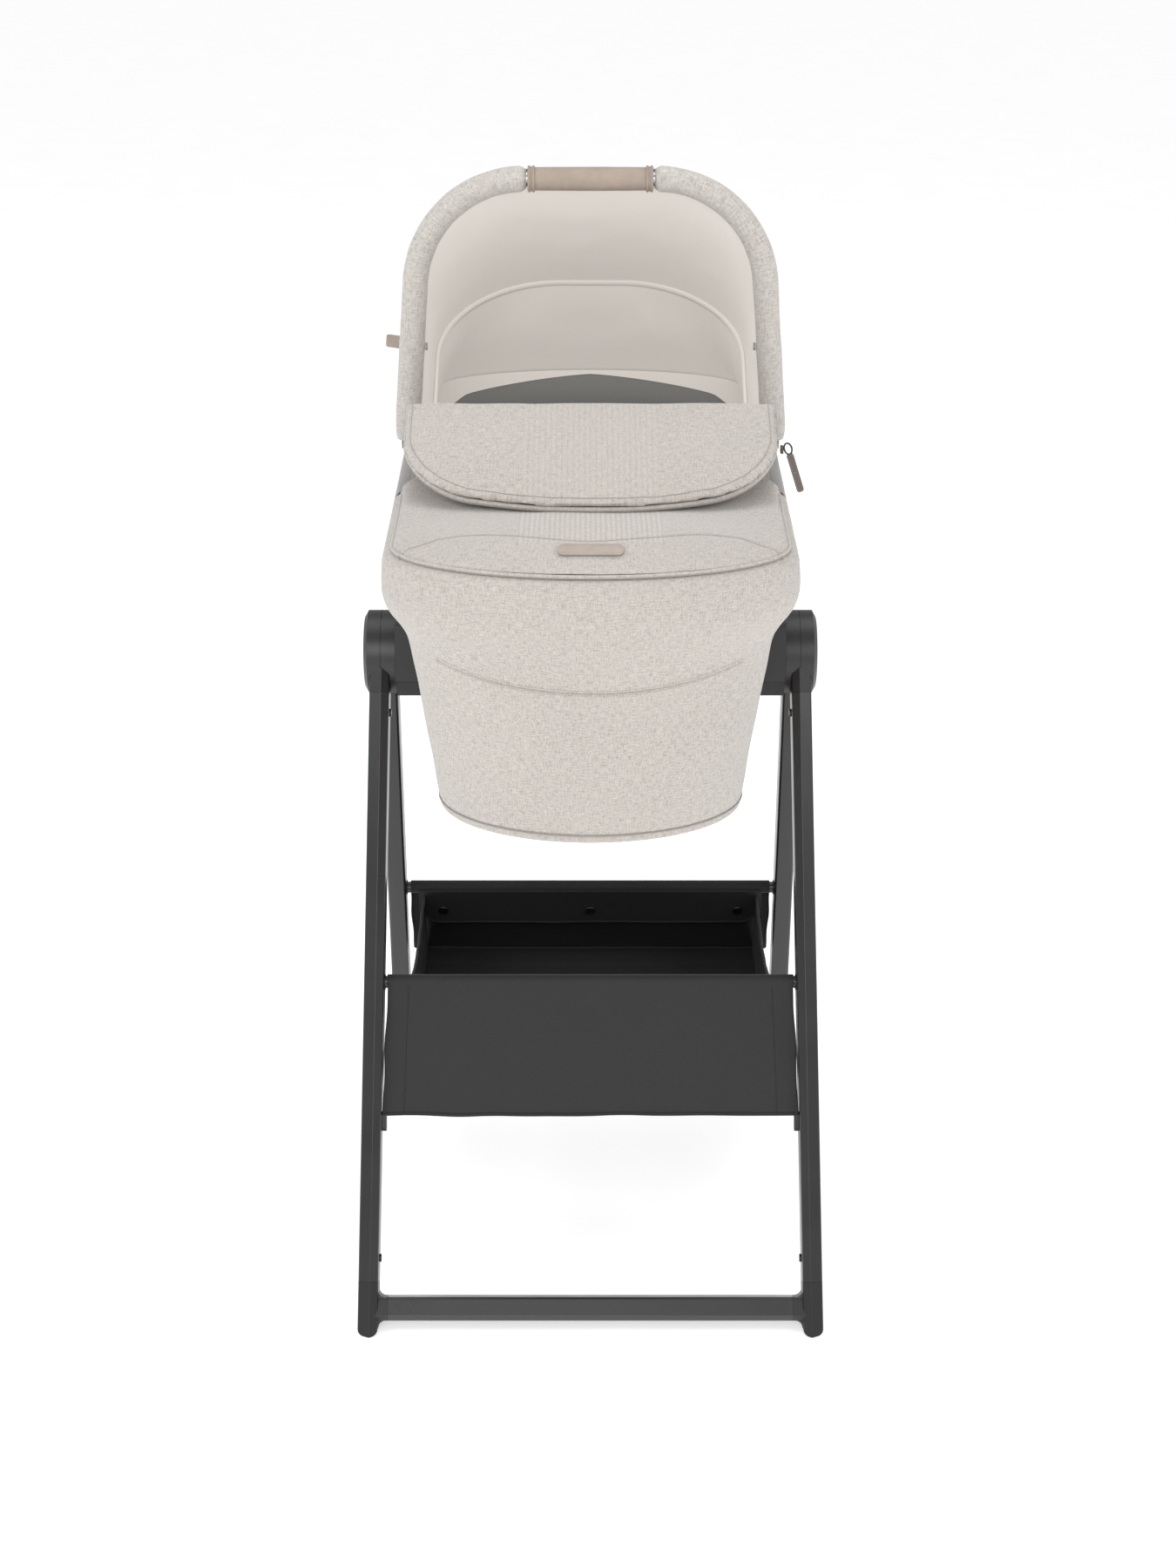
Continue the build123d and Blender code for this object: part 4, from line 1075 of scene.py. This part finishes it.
def basket_panel(name, end, material, node):
    """Hanging panel: wraps over its bar and drops to the basket floor."""
    half, top_along = PANEL_HALF[end], BASKET_BAR[end]
    wrap_radius = BAR_RADIUS + 1.2
    columns = eased(half, 80)
    rows = []
    for k in range(11):
        turn = radians(180 - 18 * k)
        out, along = LEG_OFFSET + wrap_radius * cos(turn), top_along - wrap_radius * sin(turn)
        rows.append([frame_at(x, end, out, along) for x in columns])
    for share in shares(40, 1):
        row = []
        for x in columns:
            edge = smooth((abs(x) - half + 26) / 26)
            pucker = 1.2 * wander(x, share * 150, end * 90, 42, 12) * smooth(share * 4)
            slack = 2.2 * sin(pi * share) * (1 - edge) + pucker
            pinch = 0.9 * edge * sin(share * pi * 3.2) * sin(pi * share)
            spread = (0.989 + 0.026 * share) if end < 0 else 1
            down = lerp(top_along, PANEL_BOTTOM, share)
            down += 2 * wander(x, 0, end * 70, 60, 13) * share * share
            across = x * spread - (pinch if x > 0 else -pinch)
            row.append(frame_at(across, end, LEG_OFFSET + wrap_radius + slack, down))
        rows.append(row)
    panel = skin(name, rows)
    thicken(panel, 1.2, 0)
    body = "front_frame" if end < 0 else "rear_frame"
    dress(panel, material, body, "basket_fabric", node)
    # Bound side edges and a lower hem
    for side, side_name in SIDES:
        j = 0 if side < 0 else len(columns) - 1
        line = [row[j] for row in rows[10:]]
        dress(tube(f"{name}_binding_{side_name}", line, 1.7, sides=8), basket_hem, body, "basket_fabric")
        line = [Vector(row[j]).lerp(Vector(row[j - side * 12]), 0.9) for row in rows[11:]]
        sewn = stitches(f"{name}_stitching_{side_name}", line, (0, end * COS_LEG, SIN_LEG),
                        pitch=3.6, length=2.4, height=0.3, lift=0.9)
        dress(sewn, black_thread, body, "basket_fabric")
    dress(tube(f"{name}_hem", rows[-1], 1.9, sides=8), basket_hem, body, "basket_fabric")
    return panel


front_panel = basket_panel("basket_front_cloth", -1, basket_cloth, "basket_front_panel")
# The rear panel is seen from inside the basket and takes the darker nylon that paints its shade.
rear_panel = basket_panel("basket_rear_cloth", 1, basket_shaded_cloth, "basket_rear_panel")

# Flap folded over the rear bar, down the inside, in the darker nylon that paints its shade
rows = []
for share in shares(19):
    row = []
    for x in eased(214, 60):
        drop = 52 - 22 * max(0, (abs(x) - 190) / 24) ** 2
        ripple = 1.2 * wander(x, 0, 0, 40, 14) * share
        out = LEG_OFFSET - BAR_RADIUS - 3.2 - ripple - 3 * share
        row.append(frame_at(x, 1, out, BASKET_BAR[1] - 4 + drop * share))
    rows.append(row)
fold = skin("basket_rear_flap", rows)
thicken(fold, 1.2, 0)
dress(fold, basket_shaded_cloth, "rear_frame", "basket_fabric")
dress(tube("basket_rear_flap_hem", rows[-1], 1.4, sides=8), basket_hem, "rear_frame", "basket_fabric")
line = [Vector(p) + Vector((0, -1.2, 5)) for p in rows[-1][4:-4]]
dress(stitches("basket_rear_flap_stitching", line, (0, -1, 0)), black_thread, "rear_frame", "basket_fabric")
side = Vector((1, 0, 0))
for number, x in enumerate((-184, 0, 184)):
    centre, tip = (
        Vector(frame_at(x, 1, LEG_OFFSET - BAR_RADIUS - lift, BASKET_BAR[1] + 28)) for lift in (6.2, 7.2)
    )
    out = tip - centre
    rise = out.cross(side)
    rings = [
        [centre + out * height + (side * c + rise * s) * radius for c, s in circle(32)]
        for radius, height in ((6.2, 0), (6.4, 0.8), (6, 1.5), (4.9, 1.7), (4.2, 1.3), (2.4, 1.9), (0.2, 2.1))
    ]
    snap = skin(f"basket_flap_snap_{number}", rings, wrap=True)
    dress(snap, dark_metal, "rear_frame", "basket_fabric")

# Floor and sides of the basket, in the darker nylon that paints their shade
front_low = frame_at(0, -1, LEG_OFFSET + BAR_RADIUS, PANEL_BOTTOM)
rear_low = frame_at(0, 1, LEG_OFFSET + BAR_RADIUS, PANEL_BOTTOM)
front_high = frame_at(0, -1, LEG_OFFSET - BAR_RADIUS - 3, BASKET_BAR[-1] + 4)
rear_high = frame_at(0, 1, LEG_OFFSET - BAR_RADIUS - 5, BASKET_BAR[1] + 6)
HALF = 211
rows = []
for share in shares(80):
    y, z = (lerp(front_low[k], rear_low[k], share) for k in (1, 2))
    row = []
    for x in spaced(HALF, 60):
        sag = 9 * sin(pi * share) * (1 - (x / HALF) ** 2)
        ridge = 1.1 * max(0, cos(share * pi * 2 * 9)) ** 6
        row.append((x, y, z - sag + ridge + 0.8 * wander(x, y, 0, 50, 15)))
    rows.append(row)
floor_cloth = skin("basket_floor_cloth", rows)
thicken(floor_cloth, 1.6, 0)
dress(floor_cloth, basket_shaded_cloth, None, "basket_lining", "basket_floor")
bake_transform(floor_cloth)
for side, side_name in SIDES:
    rows = []
    for share in shares(60):
        low = Vector([side * HALF] + [lerp(front_low[k], rear_low[k], share) for k in (1, 2)])
        high_y, high_z = (lerp(front_high[k], rear_high[k], share) for k in (1, 2))
        high = Vector((side * HALF, high_y, high_z - 26 * sin(pi * share)))
        row = []
        for up in shares(24):
            p = low.lerp(high, up)
            bulge = 5 * sin(pi * share) * sin(pi * up) + 1.6 * wander(p.x, p.y, p.z, 45, 16)
            row.append((p.x + side * (bulge - 3), p.y, p.z))
        rows.append(row)
    wall = skin(f"basket_side_cloth_{side_name}", rows)
    top_line = [row[-1] for row in rows]
    thicken(wall, 1.2, 0)
    dress(wall, basket_shaded_cloth, None, "basket_lining", f"basket_side_{side_name}")
    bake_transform(wall)
    bound = tube(f"basket_side_binding_{side_name}", top_line, 1.8, sides=8)
    dress(bound, basket_hem, None, "basket_lining")
    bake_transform(bound)


# -------- floor, light and camera
FLOOR_HALF = 30000
corners = [(x * FLOOR_HALF, y * FLOOR_HALF, 0) for x, y in ((-1, -1), (1, -1), (1, 1), (-1, 1))]
floor = new_piece("studio_floor", corners, [(0, 1, 2, 3)])
g = Graph("studio_paper")
speck = g.noise(g.coords("Object"), 6, 3)
tint = g.ramp(speck, (0.3, srgb(246, 246, 246)), (0.7, srgb(250, 250, 250)))
floor.data.materials.append(g.finish(tint, 0.95, Emission_Strength=0.5, Emission_Color=(1, 1, 1, 1)))

world = bpy.data.worlds.new("studio")
bpy.context.scene.world = world
world.use_nodes = True
background = world.node_tree.nodes["Background"].inputs
background["Color"].default_value = (1, 1, 1, 1)
background["Strength"].default_value = 0.5


def softbox(name, place, aim, size, power):
    light = bpy.data.lights.new(name, "AREA")
    light.shape = "DISK"
    light.size = size
    light.energy = power
    lamp = link(bpy.data.objects.new(name, light))
    lamp.location = place
    lamp.visible_camera = False
    lamp.rotation_euler = (Vector(aim) - Vector(place)).to_track_quat("-Z", "Y").to_euler()


softbox("front", (-0.3, -4.2, 2.6), (0, 0.1, 0.85), 2.6, 74)
softbox("left", (-2.6, -1.2, 2.6), (0, 0, 0.8), 1.6, 30)
softbox("right", (2.6, -1.2, 2.4), (0, 0, 0.8), 1.6, 25)
softbox("top", (0, 0.4, 3.8), (0, 0, 0.8), 2.6, 34)

camera = bpy.data.cameras.new("camera")
camera.lens = 66
camera.sensor_width = 36
camera.clip_end = 100
viewer = link(bpy.data.objects.new("camera", camera))
viewer.location = (-0.0027, -3.141, 1.717)
viewer.rotation_euler = (radians(69.4), 0, 0)
bpy.context.scene.camera = viewer
bpy.context.scene.view_settings.view_transform = "Standard"
